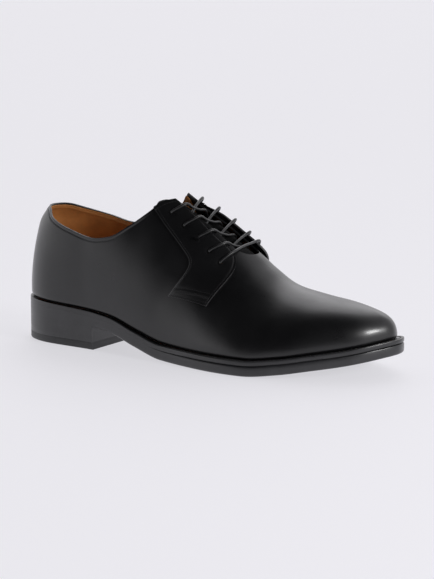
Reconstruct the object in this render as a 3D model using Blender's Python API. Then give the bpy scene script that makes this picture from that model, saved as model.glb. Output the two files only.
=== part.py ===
"""A right derby shoe with a welted sole, five pairs of lace holes and a round lace.

Metres, +Z up, toe toward +X and the outer side of the foot toward -Y. The origin is on the
floor, under the middle of the sole.
"""
import bpy
import bmesh
import math
import numpy as np

for old in list(bpy.data.objects):
    bpy.data.objects.remove(old, do_unlink=True)

# Sole
SHOE_LENGTH = 0.305
HEEL_WIDTH = 0.061
WAIST_WIDTH = 0.065
BALL_WIDTH = 0.102
HEEL_LENGTH = 0.074
HEEL_HEIGHT = 0.0176
TOE_SPRING = 0.0149
OUTSOLE_THICKNESS = 0.0072
SOLE_CHAMFER = 0.0008
WELT_THICKNESS = 0.0034
WELT_REACH = 0.0045
TOP_PIECE_THICKNESS = 0.0055
INSOLE_THICKNESS = 0.0048

# Upper
BACK_HEIGHT = 0.0685
FRONT_HEIGHT = 0.0810
INSTEP_HEIGHT = 0.0990
BOX_HEIGHT = 0.0375
UPPER_WALL = 0.0020
HEEL_TURN_IN = 0.0028
HEEL_TURN_HEIGHT = 0.0042
TOE_TURN_IN = 0.0012
TOE_TURN_HEIGHT = 0.0028
BACK_LEAN = 0.0045
BACK_LEAN_DEPTH = 0.0140
THROAT_GAP = 0.0230
FACING_WALL = 0.0014
TONGUE_WALL = 0.0020
TONGUE_DROOP = 0.0180

# Lace
LACE_DIAMETER = 0.0020

# Space between pieces that touch
CLEARANCE = 0.0004

# Sole's outline, a row per section from back to toe: share of the length, the width that the
# row follows, its share to the outer and to the inner side, and the share of the welt's reach.
OUTLINE = (
    # along, width, outer, inner, reach
    (0.000, HEEL_WIDTH, 0.000, 0.000, 0.25),
    (0.012, HEEL_WIDTH, 0.205, 0.205, 0.25),
    (0.035, HEEL_WIDTH, 0.325, 0.325, 0.25),
    (0.080, HEEL_WIDTH, 0.435, 0.435, 0.25),
    (0.130, HEEL_WIDTH, 0.478, 0.475, 0.25),
    (0.200, HEEL_WIDTH, 0.503, 0.492, 0.28),
    (0.300, WAIST_WIDTH, 0.525, 0.430, 0.40),
    (0.400, WAIST_WIDTH, 0.595, 0.408, 0.55),
    (0.480, WAIST_WIDTH, 0.660, 0.446, 0.75),
    (0.550, BALL_WIDTH, 0.462, 0.348, 0.90),
    (0.620, BALL_WIDTH, 0.495, 0.426, 1.00),
    (0.670, BALL_WIDTH, 0.504, 0.475, 1.00),
    (0.720, BALL_WIDTH, 0.491, 0.511, 1.00),
    (0.780, BALL_WIDTH, 0.446, 0.526, 1.00),
    (0.850, BALL_WIDTH, 0.353, 0.509, 1.00),
    (0.910, BALL_WIDTH, 0.229, 0.453, 1.05),
    (0.955, BALL_WIDTH, 0.105, 0.379, 1.10),
    (0.985, BALL_WIDTH, -0.025, 0.286, 1.10),
    (1.000, BALL_WIDTH, -0.149, 0.149, 1.10),
)

# Height of the sole's underside: shares of the heel's height and of the toe spring.
SOLE_LINE = (
    # along, heel, spring
    (0.000, 1.185, 0.000),
    (0.110, 1.100, 0.000),
    (0.220, 1.000, 0.000),
    (0.295, 0.852, 0.000),
    (0.377, 0.430, 0.000),
    (0.460, 0.080, 0.000),
    (0.540, 0.020, 0.000),
    (0.620, 0.000, 0.000),
    (0.700, 0.000, 0.000),
    (0.787, 0.000, 0.185),
    (0.850, 0.000, 0.400),
    (0.920, 0.000, 0.630),
    (1.000, 0.000, 1.000),
)

# Top line of the last, over the sole: the cone above the heel, the instep, the vamp, the toe box.
RIDGE = (
    # along, height, share, aside (share of the ball width, toward the inner side)
    (0.150, BACK_HEIGHT, 1.755, 0.000),
    (0.250, BACK_HEIGHT, 1.765, 0.000),
    (0.330, INSTEP_HEIGHT, 1.160, 0.005),
    (0.400, INSTEP_HEIGHT, 1.115, 0.015),
    (0.460, INSTEP_HEIGHT, 1.035, 0.028),
    (0.520, INSTEP_HEIGHT, 0.920, 0.050),
    (0.580, INSTEP_HEIGHT, 0.775, 0.075),
    (0.640, INSTEP_HEIGHT, 0.622, 0.092),
    (0.700, INSTEP_HEIGHT, 0.488, 0.098),
    (0.760, BOX_HEIGHT, 1.090, 0.105),
    (0.820, BOX_HEIGHT, 0.930, 0.120),
    (0.880, BOX_HEIGHT, 0.770, 0.133),
    (0.940, BOX_HEIGHT, 0.580, 0.145),
)

# Sections of the last, from the sole's edge to the top line. Each rises with a lean outward for
# a share of its height, and comes to the top line flat for a share of its width.
SECTIONS = (
    # along, meets ridge at, outer lean, rise, flat, inner lean, rise, flat
    (0.00, 0.146, 0.05, 0.40, 0.38, 0.05, 0.40, 0.38),
    (0.05, 0.149, 0.08, 0.39, 0.43, 0.08, 0.39, 0.43),
    (0.12, 0.170, 0.10, 0.38, 0.55, 0.10, 0.38, 0.60),
    (0.20, 0.220, 0.12, 0.36, 0.65, 0.12, 0.36, 0.72),
    (0.30, 0.300, 0.12, 0.36, 0.65, 0.14, 0.36, 0.80),
    (0.40, 0.400, 0.06, 0.36, 0.60, 0.20, 0.36, 0.92),
    (0.50, 0.500, 0.00, 0.38, 0.46, 0.14, 0.42, 0.90),
    (0.60, 0.600, 0.03, 0.42, 0.34, 0.06, 0.48, 0.75),
    (0.70, 0.700, 0.06, 0.44, 0.42, 0.05, 0.52, 0.62),
    (0.78, 0.775, 0.08, 0.50, 0.54, 0.06, 0.56, 0.60),
    (0.86, 0.845, 0.08, 0.60, 0.60, 0.06, 0.60, 0.60),
    (0.93, 0.890, 0.06, 0.62, 0.62, 0.06, 0.62, 0.62),
    (1.00, 0.920, 0.05, 0.62, 0.65, 0.05, 0.62, 0.65),
)

# Collar's edge over the heel seat, up to the rounded top of the facings.
COLLAR = (
    # along, height, outer, inner
    (0.000, BACK_HEIGHT, 1.000, 1.000),
    (0.030, BACK_HEIGHT, 0.990, 0.992),
    (0.090, BACK_HEIGHT, 0.905, 0.940),
    (0.160, BACK_HEIGHT, 0.815, 0.878),
    (0.240, BACK_HEIGHT, 0.746, 0.814),
    (0.290, BACK_HEIGHT, 0.780, 0.819),
    (0.340, BACK_HEIGHT, 0.910, 0.900),
    (0.385, FRONT_HEIGHT, 0.900, 0.880),
    (0.405, FRONT_HEIGHT, 0.970, 0.955),
    (0.420, FRONT_HEIGHT, 0.998, 1.020),
    (0.440, FRONT_HEIGHT, 1.010, 1.075),
    (0.462, FRONT_HEIGHT, 0.970, 1.045),
)

# Throat between the facings: where the collar turns into it, where it ends and the length that
# its rounded end takes.
THROAT_TOP = COLLAR[-1][0]
THROAT_END = 0.625
THROAT_ROUND = 0.040

# Facing, a tab stitched on the quarter: its curved rear seam and its front edge, from the
# collar down to the stitched bar. Girth is the share of a section from the sole to the ridge.
FACING_REAR = (
    # down, along, girth
    (0.00, 0.395, 0.606),
    (0.18, 0.430, 0.588),
    (0.36, 0.463, 0.568),
    (0.54, 0.492, 0.538),
    (0.64, 0.507, 0.514),
    (0.70, 0.511, 0.490),
    (0.78, 0.508, 0.446),
    (0.90, 0.490, 0.358),
    (1.00, 0.471, 0.280),
)
FACING_FRONT = (
    # down, along, girth
    (0.00, 0.458, 0.835),
    (0.15, 0.490, 0.815),
    (0.30, 0.526, 0.790),
    (0.44, 0.561, 0.772),
    (0.56, 0.592, 0.765),
    (0.64, 0.606, 0.725),
    (0.72, 0.611, 0.655),
    (0.81, 0.608, 0.575),
    (0.90, 0.598, 0.470),
    (1.00, 0.578, 0.318),
)

# Lace holes, from the top pair down.
HOLES = (
    # along, girth
    (0.439, 0.713),
    (0.476, 0.687),
    (0.512, 0.660),
    (0.547, 0.637),
    (0.578, 0.620),
)

# Tongue, from its top to its root under the vamp: girth of its side edges and share of the droop.
TONGUE = (
    # along, girth, droop
    (0.376, 0.720, 1.00),
    (0.388, 0.620, 0.84),
    (0.405, 0.580, 0.67),
    (0.435, 0.580, 0.47),
    (0.470, 0.590, 0.24),
    (0.500, 0.600, 0.08),
    (0.530, 0.620, 0.00),
    (0.620, 0.720, 0.00),
    (0.665, 0.860, 0.00),
)

# Ways of the lace over the gap between the facings: share of the gap, and share of the rise from
# lying on the tongue to lying on the facings.
LACE_BAR = (
    # gap, rise
    (0.00, 1.00),
    (0.30, 0.80),
    (0.50, 0.70),
    (0.70, 0.80),
    (1.00, 1.00),
)
LACE_CROSSING = (
    # gap, rise
    (0.00, 0.00),
    (0.30, 0.00),
    (0.50, 0.17),
    (0.70, 0.47),
    (1.00, 1.00),
)


def columns(table):
    """The columns of a table, as arrays."""
    return [np.array(column) for column in zip(*table)]


def smooth(rows, values):
    """Natural cubic spline through a table's column."""
    count, step = len(rows), np.diff(rows)
    system, right = np.eye(count), np.zeros(count)
    for i in range(1, count - 1):
        system[i, i - 1:i + 2] = step[i - 1], 2 * (step[i - 1] + step[i]), step[i]
        right[i] = 6 * ((values[i + 1] - values[i]) / step[i] - (values[i] - values[i - 1]) / step[i - 1])
    bend = np.linalg.solve(system, right)

    def value(at):
        k = np.clip(np.searchsorted(rows, at, side="right") - 1, 0, count - 2)
        before, after, wide = at - rows[k], rows[k + 1] - at, step[k]
        curved = (bend[k] * after**3 + bend[k + 1] * before**3) / (6 * wide)
        curved = curved + (values[k] / wide - bend[k] * wide / 6) * after
        return curved + (values[k + 1] / wide - bend[k + 1] * wide / 6) * before

    return value


def steady(rows, values):
    """Cubic through a table's column that never runs past its rows."""
    step, rate = np.diff(rows), np.diff(values) / np.diff(rows)
    total = np.where(rate[:-1] + rate[1:] == 0, 1, rate[:-1] + rate[1:])
    middle = np.where(rate[:-1] * rate[1:] > 0, 2 * rate[:-1] * rate[1:] / total, 0)
    slope = np.concatenate([rate[:1], middle, rate[-1:]])

    def value(at):
        k = np.clip(np.searchsorted(rows, at, side="right") - 1, 0, len(rows) - 2)
        t = np.clip((at - rows[k]) / step[k], 0, 1)
        low = (1 + 2 * t) * (1 - t)**2 * values[k] + t * (1 - t)**2 * step[k] * slope[k]
        return low + t**2 * (3 - 2 * t) * values[k + 1] + t**2 * (t - 1) * step[k] * slope[k + 1]

    return value


ALONG, HEEL_SHARE, SPRING_SHARE = columns(SOLE_LINE)
UNDERSIDE = steady(ALONG, HEEL_SHARE * HEEL_HEIGHT + SPRING_SHARE * TOE_SPRING)


def sole_bottom(along):
    """Height of the outsole's underside."""
    return UNDERSIDE(along)


def outsole_top(along):
    """Height of the outsole's upper face."""
    return sole_bottom(along) + OUTSOLE_THICKNESS


def welt_bottom(along):
    """Height of the welt's underside."""
    return outsole_top(along) + CLEARANCE


def welt_top(along):
    """Height of the welt's upper face, where the upper stands."""
    return welt_bottom(along) + WELT_THICKNESS


# Stations run from 0 at the back of the heel to 1 at the tip of the toe, closer together
# where the outline turns. Each side's curve runs on into the other side past both ends.
ALONG, WIDTH, OUTER, INNER, REACH = columns(OUTLINE)
OUTER_LEG = np.hypot(np.diff(ALONG) * SHOE_LENGTH, np.diff(OUTER * WIDTH))
INNER_LEG = np.hypot(np.diff(ALONG) * SHOE_LENGTH, np.diff(INNER * WIDTH))
CROWDING = 0.8
LEG = (0.5 * (OUTER_LEG + INNER_LEG))**CROWDING
STATION = np.concatenate([[0], np.cumsum(LEG)]) / LEG.sum()


def around(own, other):
    """A side's column, with the other side's before its start and after its end."""
    return np.concatenate([other[:0:-1], own, other[-2::-1]])


ROUND = around(STATION, -STATION)
ROUND[-len(STATION) + 1:] += 2
EDGE_X = smooth(ROUND, around(ALONG, ALONG) * SHOE_LENGTH)
EDGE_Y = {
    -1: smooth(ROUND, around(-OUTER * WIDTH, INNER * WIDTH)),
    1: smooth(ROUND, around(INNER * WIDTH, -OUTER * WIDTH)),
}
EDGE_REACH = smooth(ROUND, around(REACH, REACH) * WELT_REACH)


def outline(station, side):
    """The sole's outline on the outer side (-1) or the inner side (+1)."""
    return EDGE_X(station), EDGE_Y[side](station)


def inset(station, side, distance):
    """The outline moved inward by a distance."""
    nudge = 1e-4
    x, y = outline(station, side)
    ahead, behind = outline(station + nudge, side), outline(station - nudge, side)
    run_x, run_y = ahead[0] - behind[0], ahead[1] - behind[1]
    run = np.hypot(run_x, run_y)
    return x + side * run_y / run * distance, y - side * run_x / run * distance


def feather(station, side, distance=0.0):
    """The line where the upper's wall stands over the welt, moved inward by a distance."""
    return inset(station, side, EDGE_REACH(station) + distance)


def search(low, high, short):
    """Halves a range until it holds the value at which short turns from true to false."""
    for _ in range(30):
        middle = (low + high) / 2
        under = short(middle)
        low, high = np.where(under, middle, low), np.where(under, high, middle)
    return (low + high) / 2


def ease(low, high, at):
    """Soft step from 0 at the low end of a range to 1 at its high end."""
    share = np.clip((np.asarray(at, float) - low) / (high - low), 0, 1)
    return share**2 * (3 - 2 * share)


# The upper turns in deep over the heel and the waist, and less from the ball on.
TURN_RANGE = (0.40, 0.56)


def turn_in(along):
    """How far the upper's foot turns in under its wall."""
    return HEEL_TURN_IN + (TOE_TURN_IN - HEEL_TURN_IN) * ease(*TURN_RANGE, along)


def turn_height(along):
    """Height over its foot at which the upper's wall begins to turn in."""
    return HEEL_TURN_HEIGHT + (TOE_TURN_HEIGHT - HEEL_TURN_HEIGHT) * ease(*TURN_RANGE, along)


def wall_foot(station, side, distance):
    """The line under the wall's turned-in foot, moved inward by a distance."""
    along = outline(station, side)[0] / SHOE_LENGTH
    return feather(station, side, turn_in(along) + UPPER_WALL + distance)


def station_at(along):
    """The station whose outline point lies at a share of the length."""
    along = np.asarray(along, float)
    return search(0 * along, 0 * along + 1, lambda station: EDGE_X(station) < along * SHOE_LENGTH)


ALONG, HEIGHT, SHARE, ASIDE = columns(RIDGE)
RIDGE_HEIGHT = smooth(ALONG, HEIGHT * SHARE)
RIDGE_ASIDE = smooth(ALONG, ASIDE * BALL_WIDTH)


def ridge(along):
    """Point of the last's top line."""
    return along * SHOE_LENGTH, RIDGE_ASIDE(along), welt_top(along) + RIDGE_HEIGHT(along)


ALONG, MEETS = columns(SECTIONS)[:2]
MEETING = smooth(ALONG, MEETS)
SHAPE = {
    -1: [smooth(ALONG, column) for column in columns(SECTIONS)[2:5]],
    1: [smooth(ALONG, column) for column in columns(SECTIONS)[5:8]],
}


# The upper's back leans in toward its top edge, as far round the heel as this range.
LEAN_RANGE = (0.05, 0.16)


def last(station, girth, side):
    """Point of the upper's outer face: girth runs from 0 at the welt to 1 at the top line."""
    station, girth = np.broadcast_arrays(np.asarray(station, float), np.asarray(girth, float))
    along = outline(station, side)[0] / SHOE_LENGTH
    lean, rise, flat = (shape(along) for shape in SHAPE[side])
    foot_x, foot_y = feather(station, side)
    foot_z = welt_top(foot_x / SHOE_LENGTH) + CLEARANCE
    at = MEETING(along)
    top_x, top_y, top_z = ridge(at)
    nudge = 1e-3
    slope = (ridge(at + nudge)[2] - ridge(at - nudge)[2]) / (2 * nudge * SHOE_LENGTH)
    out_x, out_y = foot_x - top_x, foot_y - top_y
    span, height = np.hypot(out_x, out_y), top_z - foot_z
    out_x, out_y = out_x / span, out_y / span
    rise, flat = rise * height, flat * span
    lean = lean * rise
    foot = np.stack([foot_x, foot_y, foot_z], -1)
    wall = foot + np.stack([out_x * lean, out_y * lean, rise], -1)
    top = np.stack([top_x, top_y, top_z], -1)
    crown = top + np.stack([out_x * flat, out_y * flat, slope * out_x * flat], -1)
    t = girth[..., None]
    point = (1 - t)**3 * foot + 3 * (1 - t)**2 * t * wall + 3 * (1 - t) * t**2 * crown + t**3 * top
    below = np.clip(1 - (point[..., 2] - foot_z) / turn_height(along), 0, 1)
    turned = turn_in(along) * (1 - np.sqrt(1 - below**2))
    over = np.maximum(point[..., 2] - foot_z - BACK_HEIGHT + BACK_LEAN_DEPTH, 0) / BACK_LEAN_DEPTH
    inward = turned + BACK_LEAN * over**2 * (1 - ease(*LEAN_RANGE, along))
    return point - np.stack([out_x * inward, out_y * inward, 0 * inward], -1)


def last_normal(station, girth, side):
    """Outward normal of the upper's outer face."""
    nudge = 1e-3
    ahead = last(np.minimum(station + nudge, 1), girth, side) - last(station - nudge, girth, side)
    girth = np.clip(girth, nudge, 1)
    up = last(station, girth, side) - last(station, girth - nudge, side)
    normal = -side * np.cross(ahead, up)
    return normal / np.linalg.norm(normal, axis=-1, keepdims=True)


ALONG, HEIGHT, OUTER_SHARE, INNER_SHARE = columns(COLLAR)
COLLAR_HEIGHT = {-1: steady(ALONG, HEIGHT * OUTER_SHARE), 1: steady(ALONG, HEIGHT * INNER_SHARE)}


def top_girth(station, side):
    """Girth at which the collar, the throat or the top line ends a section."""
    station = np.asarray(station, float)
    along = outline(station, side)[0] / SHOE_LENGTH
    collar = welt_top(0.0) + COLLAR_HEIGHT[side](np.minimum(along, THROAT_TOP))
    closing = np.clip((along - THROAT_END + THROAT_ROUND) / THROAT_ROUND, 0, 1)
    half = THROAT_GAP / 2 * np.sqrt(1 - closing**2)
    middle = RIDGE_ASIDE(along)

    def below_edge(girth):
        point = last(station, girth, side)
        past_collar = (along <= THROAT_TOP) & (point[..., 2] > collar)
        past_throat = (girth > 0.5) & (np.abs(point[..., 1] - middle) < half)
        return ~(past_collar | past_throat)

    edge = search(0 * station, 0 * station + 1, below_edge)
    return np.where(along >= THROAT_END, 1.0, edge)


def material(name, colour, roughness):
    """A plain surface for one piece."""
    made = bpy.data.materials.new(name)
    made.use_nodes = True
    shader = made.node_tree.nodes["Principled BSDF"]
    shader.inputs["Base Color"].default_value = (*colour, 1.0)
    shader.inputs["Roughness"].default_value = roughness
    shader.inputs["Metallic"].default_value = 0.0
    return made


rubber = material("sole_rubber", (0.030, 0.030, 0.032), 0.45)
leather = material("black_calf", (0.012, 0.012, 0.013), 0.30)
lining = material("tan_lining", (0.420, 0.200, 0.075), 0.60)
cord = material("waxed_cord", (0.015, 0.015, 0.017), 0.50)

# Every piece is worked out from the back of the heel and stands under this empty.
every_station = np.linspace(0, 1, 401)
inner_reach = EDGE_Y[1](every_station).max()
outer_reach = EDGE_Y[-1](every_station).min()
shoe = bpy.data.objects.new("shoe", None)
shoe.location = (-SHOE_LENGTH / 2, -(inner_reach + outer_reach) / 2, 0)
bpy.context.scene.collection.objects.link(shoe)


def piece(name, form, made_of):
    """An object under the shoe's empty, from a bmesh whose doubled points are joined."""
    bmesh.ops.remove_doubles(form, verts=form.verts, dist=1e-6)
    mesh = bpy.data.meshes.new(name)
    form.to_mesh(mesh)
    form.free()
    mesh.shade_smooth()
    mesh.set_sharp_from_angle(angle=math.radians(40))
    mesh.materials.append(made_of)
    made = bpy.data.objects.new(name, mesh)
    made.parent = shoe
    bpy.context.scene.collection.objects.link(made)
    return made


def strip(form, first, second):
    """Faces between two rows of vertices."""
    for a, b, c, d in zip(first, first[1:], second[1:], second):
        form.faces.new((a, b, c, d))


def loop(form, stations, line, height):
    """Vertices round a plate: the outer side and the inner side, each from back to front."""
    sides = []
    for side in (-1, 1):
        x, y = line(stations, side)
        sides.append([form.verts.new(p) for p in zip(x, y, height(x / SHOE_LENGTH))])
    return sides


def plate(name, made_of, stations, rings, frame=False):
    """A plate built up through rings, each a line and a height; a frame joins its last to its first."""
    form = bmesh.new()
    loops = [loop(form, stations, line, height) for line, height in rings]
    for low, high in zip(loops, loops[1:] + loops[:1] if frame else loops[1:]):
        for side in (0, 1):
            strip(form, low[side], high[side])
        if stations[-1] < 1:
            form.faces.new((low[0][-1], low[1][-1], high[1][-1], high[0][-1]))
    if not frame:
        strip(form, *loops[0])
        strip(form, *loops[-1])
    bmesh.ops.remove_doubles(form, verts=form.verts, dist=1e-6)
    bmesh.ops.recalc_face_normals(form, faces=form.faces)
    return piece(name, form, made_of)


def inside(distance):
    """A plate's line: the outline moved inward."""
    return lambda station, side: inset(station, side, distance)


def under_upper(distance):
    """A plate's line: the inner foot of the upper's wall moved inward."""
    return lambda station, side: wall_foot(station, side, distance)


def level(height):
    """A plate's height that is the same all along."""
    return lambda along: np.full(np.shape(along), height)


def above(surface, height):
    """A plate's height over one of the sole's surfaces."""
    return lambda along: surface(along) + height


# Heel: a top piece on the floor and the block between it and the outsole
HEEL_STEPS = 18
heel_stations = np.linspace(0, station_at(HEEL_LENGTH / SHOE_LENGTH), HEEL_STEPS + 1)
plate("heel_top_piece", rubber, heel_stations, (
    (inside(SOLE_CHAMFER), level(0)),
    (inside(0), level(SOLE_CHAMFER)),
    (inside(0), level(TOP_PIECE_THICKNESS)),
))
plate("heel_block", rubber, heel_stations, (
    (inside(0), level(TOP_PIECE_THICKNESS + CLEARANCE)),
    (inside(0), above(sole_bottom, -CLEARANCE)),
))

# Outsole from heel to toe, with the lower edge of its side taken off
SOLE_STEPS = 56
sole_stations = np.linspace(0, 1, SOLE_STEPS + 1)
plate("outsole", rubber, sole_stations, (
    (inside(SOLE_CHAMFER), sole_bottom),
    (inside(0), above(sole_bottom, SOLE_CHAMFER)),
    (inside(0), outsole_top),
))

# Welt round the upper's foot, and the insole that fills it
plate("welt", rubber, sole_stations, (
    (inside(0), welt_bottom),
    (inside(0), welt_top),
    (under_upper(0), welt_top),
    (under_upper(0), welt_bottom),
), frame=True)
plate("insole", lining, sole_stations, (
    (under_upper(CLEARANCE), welt_bottom),
    (under_upper(CLEARANCE), above(welt_bottom, INSOLE_THICKNESS)),
))

# Upper: vamp and quarters in one skin, open at the collar, the throat and underneath. Its
# stations are set out between places along the shoe, its rows from the turned-in foot up.
PLACES = (0.20, THROAT_TOP, THROAT_END, 0.86)
PLACE_STEPS = (8, 11, 9, 9, 10)
TURN_ROW = 0.3
UPPER_ROWS = 10
places = [0.0, *station_at(PLACES), 1.0]
spans = [np.linspace(a, b, n, endpoint=False) for a, b, n in zip(places, places[1:], PLACE_STEPS)]
upper_stations = np.concatenate(spans + [[1.0]])


def upper_points(side):
    """Rows of a side's points, from its foot to its edge."""
    top_of_turn = last(upper_stations, 0.0, side)[:, 2]
    top_of_turn = top_of_turn + turn_height(outline(upper_stations, side)[0] / SHOE_LENGTH)

    def in_turn(girth):
        return last(upper_stations, girth, side)[:, 2] < top_of_turn

    turn = search(0 * top_of_turn, 0 * top_of_turn + 0.5, in_turn)
    rise = (top_girth(upper_stations, side) - turn) / UPPER_ROWS
    girths = [0 * turn, TURN_ROW * turn] + [turn + rise * row for row in range(UPPER_ROWS + 1)]
    return np.stack([last(upper_stations, girth, side) for girth in girths], axis=1)


def skinned(name, made_of, patches, thickness, offset):
    """Patches of points, each a grid, joined into one skin with a thickness."""
    form = bmesh.new()
    for patch in patches:
        grid = [[form.verts.new(p) for p in row] for row in patch]
        for first, second in zip(grid, grid[1:]):
            strip(form, first, second)
    made = piece(name, form, made_of)
    wall = made.modifiers.new("wall", "SOLIDIFY")
    wall.thickness = thickness
    wall.offset = offset


INWARD, OUTWARD = -1, 1
skinned("upper", leather, (upper_points(-1)[:, ::-1], upper_points(1)), UPPER_WALL, INWARD)

# Facings: a tab on each quarter, just off its face, its first row along the collar
FACING_ROWS = 16
FACING_COLUMNS = 8


def facing_points(side):
    """Rows of the facing's inner face, from the collar down to the bar."""
    down, *rear = columns(FACING_REAR)
    rear = [smooth(down, column) for column in rear]
    down, *front = columns(FACING_FRONT)
    front = [smooth(down, column) for column in front]
    across = np.linspace(0, 1, FACING_COLUMNS + 1)
    along, girth = (r(0.0) * (1 - across) + f(0.0) * across for r, f in zip(rear, front))
    lift = top_girth(station_at(along), side) - girth
    rows = []
    for down in np.linspace(0, 1, FACING_ROWS + 1):
        along, girth = (r(down) * (1 - across) + f(down) * across for r, f in zip(rear, front))
        station = station_at(along)
        girth = np.minimum(girth + lift * (1 - down)**3, top_girth(station, side))
        rows.append(last(station, girth, side) + last_normal(station, girth, side) * CLEARANCE)
    return np.stack(rows)


skinned("facing_outer", leather, [facing_points(-1)[:, ::-1]], FACING_WALL, OUTWARD)
skinned("facing_inner", leather, [facing_points(1)], FACING_WALL, OUTWARD)

# Tongue: from its drooping top to its root under the vamp, inside the quarters
TONGUE_ROWS = 12
TONGUE_COLUMNS = 12
TONGUE_INSET = UPPER_WALL + 3 * CLEARANCE
along, girth, droop = columns(TONGUE)
tongue_edge, tongue_droop = steady(along, girth), steady(along, droop * TONGUE_DROOP)


def tongue_point(along, share):
    """A point of the tongue's outer face: share runs from -1 at its outer edge to 1 at its inner."""
    side = -1 if share < 0 else 1
    station, girth = station_at(along), 1 - abs(share) * (1 - tongue_edge(along))
    face = last(station, girth, side) - last_normal(station, girth, side) * TONGUE_INSET
    return face - np.array([0, 0, tongue_droop(along)])


shares = np.linspace(1, -1, TONGUE_COLUMNS + 1)
lengths = np.linspace(along[0], along[-1], TONGUE_ROWS + 1)
tongue_rows = [[tongue_point(at, share) for share in shares] for at in lengths]
skinned("tongue", leather, [tongue_rows], TONGUE_WALL, INWARD)

# Lace: a bar over the lowest holes, then a crossing up to each next pair. A run starts on the
# tongue or over a hole, and ends over a hole on the other facing.
CORD_SIDES = 8
RADIUS = LACE_DIAMETER / 2
ON_FACING = CLEARANCE + FACING_WALL + CLEARANCE + RADIUS
ON_TONGUE = -TONGUE_INSET + CLEARANCE + RADIUS


def run_point(start, finish, share, height):
    """A point between two holes, each an along, a girth and a side, at a height over the last."""
    along = start[0] + (finish[0] - start[0]) * share
    _, girth, side = start if share < 0.5 else finish
    girth = 1 - abs(2 * share - 1) * (1 - girth)
    station = station_at(along)
    return last(station, girth, side) + last_normal(station, girth, side) * height


def clear_of_edge(start, finish):
    """Share of a run at which the cord is clear of the throat's edge next to its start."""
    along, girth, side = start
    edge = (top_girth(station_at(along), side) - girth) / (1 - girth) / 2
    half = np.linalg.norm(run_point(start, finish, 0.5, 0) - run_point(start, finish, 0, 0))
    return edge + (RADIUS + 2 * CLEARANCE) / (2 * half)


def tube(points):
    """A round cord through points, closed at both ends."""
    form = bmesh.new()
    rings, across = [], np.array([0.0, 0.0, 1.0])
    for i, point in enumerate(points):
        run = points[min(i + 1, len(points) - 1)] - points[max(i - 1, 0)]
        run = run / np.linalg.norm(run)
        across = across - run * np.dot(across, run)
        across = across / np.linalg.norm(across)
        beside = np.cross(run, across)
        turns = [math.tau * k / CORD_SIDES for k in range(CORD_SIDES)]
        ring = [point + RADIUS * (math.cos(t) * across + math.sin(t) * beside) for t in turns]
        rings.append([form.verts.new(p) for p in ring])
    for first, second in zip(rings, rings[1:]):
        strip(form, first + first[:1], second + second[:1])
    form.faces.new(rings[0])
    form.faces.new(rings[-1])
    bmesh.ops.recalc_face_normals(form, faces=form.faces)
    return form


def lace_run(start, finish, way, from_hole):
    """A run of the lace: the way over the gap between the facings, then on to the hole."""
    enter, leave = clear_of_edge(start, finish), 1 - clear_of_edge(finish, start)
    path = [(enter + (leave - enter) * gap, ON_TONGUE + (ON_FACING - ON_TONGUE) * rise) for gap, rise in way]
    path += [((1 + leave) / 2, ON_FACING), (1.0, ON_FACING)]
    if from_hole:
        path = [(0.0, ON_FACING), (enter / 2, ON_FACING)] + path
    return tube([run_point(start, finish, share, height) for share, height in path])


holes = {side: [(along, girth, side) for along, girth in HOLES] for side in (-1, 1)}
piece("lace_bar", lace_run(holes[-1][-1], holes[1][-1], LACE_BAR, True), cord)
for row in range(len(HOLES) - 1):
    ways = [lace_run(holes[side][row + 1], holes[-side][row], LACE_CROSSING, False) for side in (-1, 1)]
    made = piece(f"lace_cross_{row + 1}", ways[0], cord)
    helper = piece(f"lace_helper_{row + 1}", ways[1], cord)
    helper.hide_render = True
    helper.display_type = "WIRE"
    join = made.modifiers.new("join", "BOOLEAN")
    join.operation, join.solver, join.object = "UNION", "EXACT", helper
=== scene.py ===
import bpy
import bmesh
import math
import numpy as np
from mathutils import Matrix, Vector


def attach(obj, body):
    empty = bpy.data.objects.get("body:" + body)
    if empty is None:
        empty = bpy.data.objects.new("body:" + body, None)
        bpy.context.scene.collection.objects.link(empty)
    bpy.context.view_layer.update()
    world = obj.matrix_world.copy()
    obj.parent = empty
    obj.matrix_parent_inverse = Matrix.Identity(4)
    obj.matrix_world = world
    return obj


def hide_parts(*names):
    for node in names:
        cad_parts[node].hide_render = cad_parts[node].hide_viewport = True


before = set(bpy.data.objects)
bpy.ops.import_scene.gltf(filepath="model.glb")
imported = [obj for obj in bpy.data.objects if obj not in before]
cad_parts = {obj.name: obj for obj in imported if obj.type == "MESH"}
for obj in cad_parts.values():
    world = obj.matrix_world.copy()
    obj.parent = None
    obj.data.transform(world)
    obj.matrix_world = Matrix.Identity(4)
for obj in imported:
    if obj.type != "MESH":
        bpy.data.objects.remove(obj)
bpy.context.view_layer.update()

# Outsole: one leather sole from heel to toe, cut to the outline of the last, its edge trimmed,
# blackened and waxed to a satin dark grey. Its lower edge is chamfered, its side slightly round,
# and at the forefoot a groove parts it from the welt above.
LENGTH = 0.305
HEEL_WIDTH, WAIST_WIDTH, BALL_WIDTH = 0.061, 0.065, 0.102
HEEL_HEIGHT, TOE_SPRING = 0.0176, 0.0149
OUTSOLE, SEAM, WELT, WELT_REACH = 0.0072, 0.0004, 0.0034, 0.0045
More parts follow.
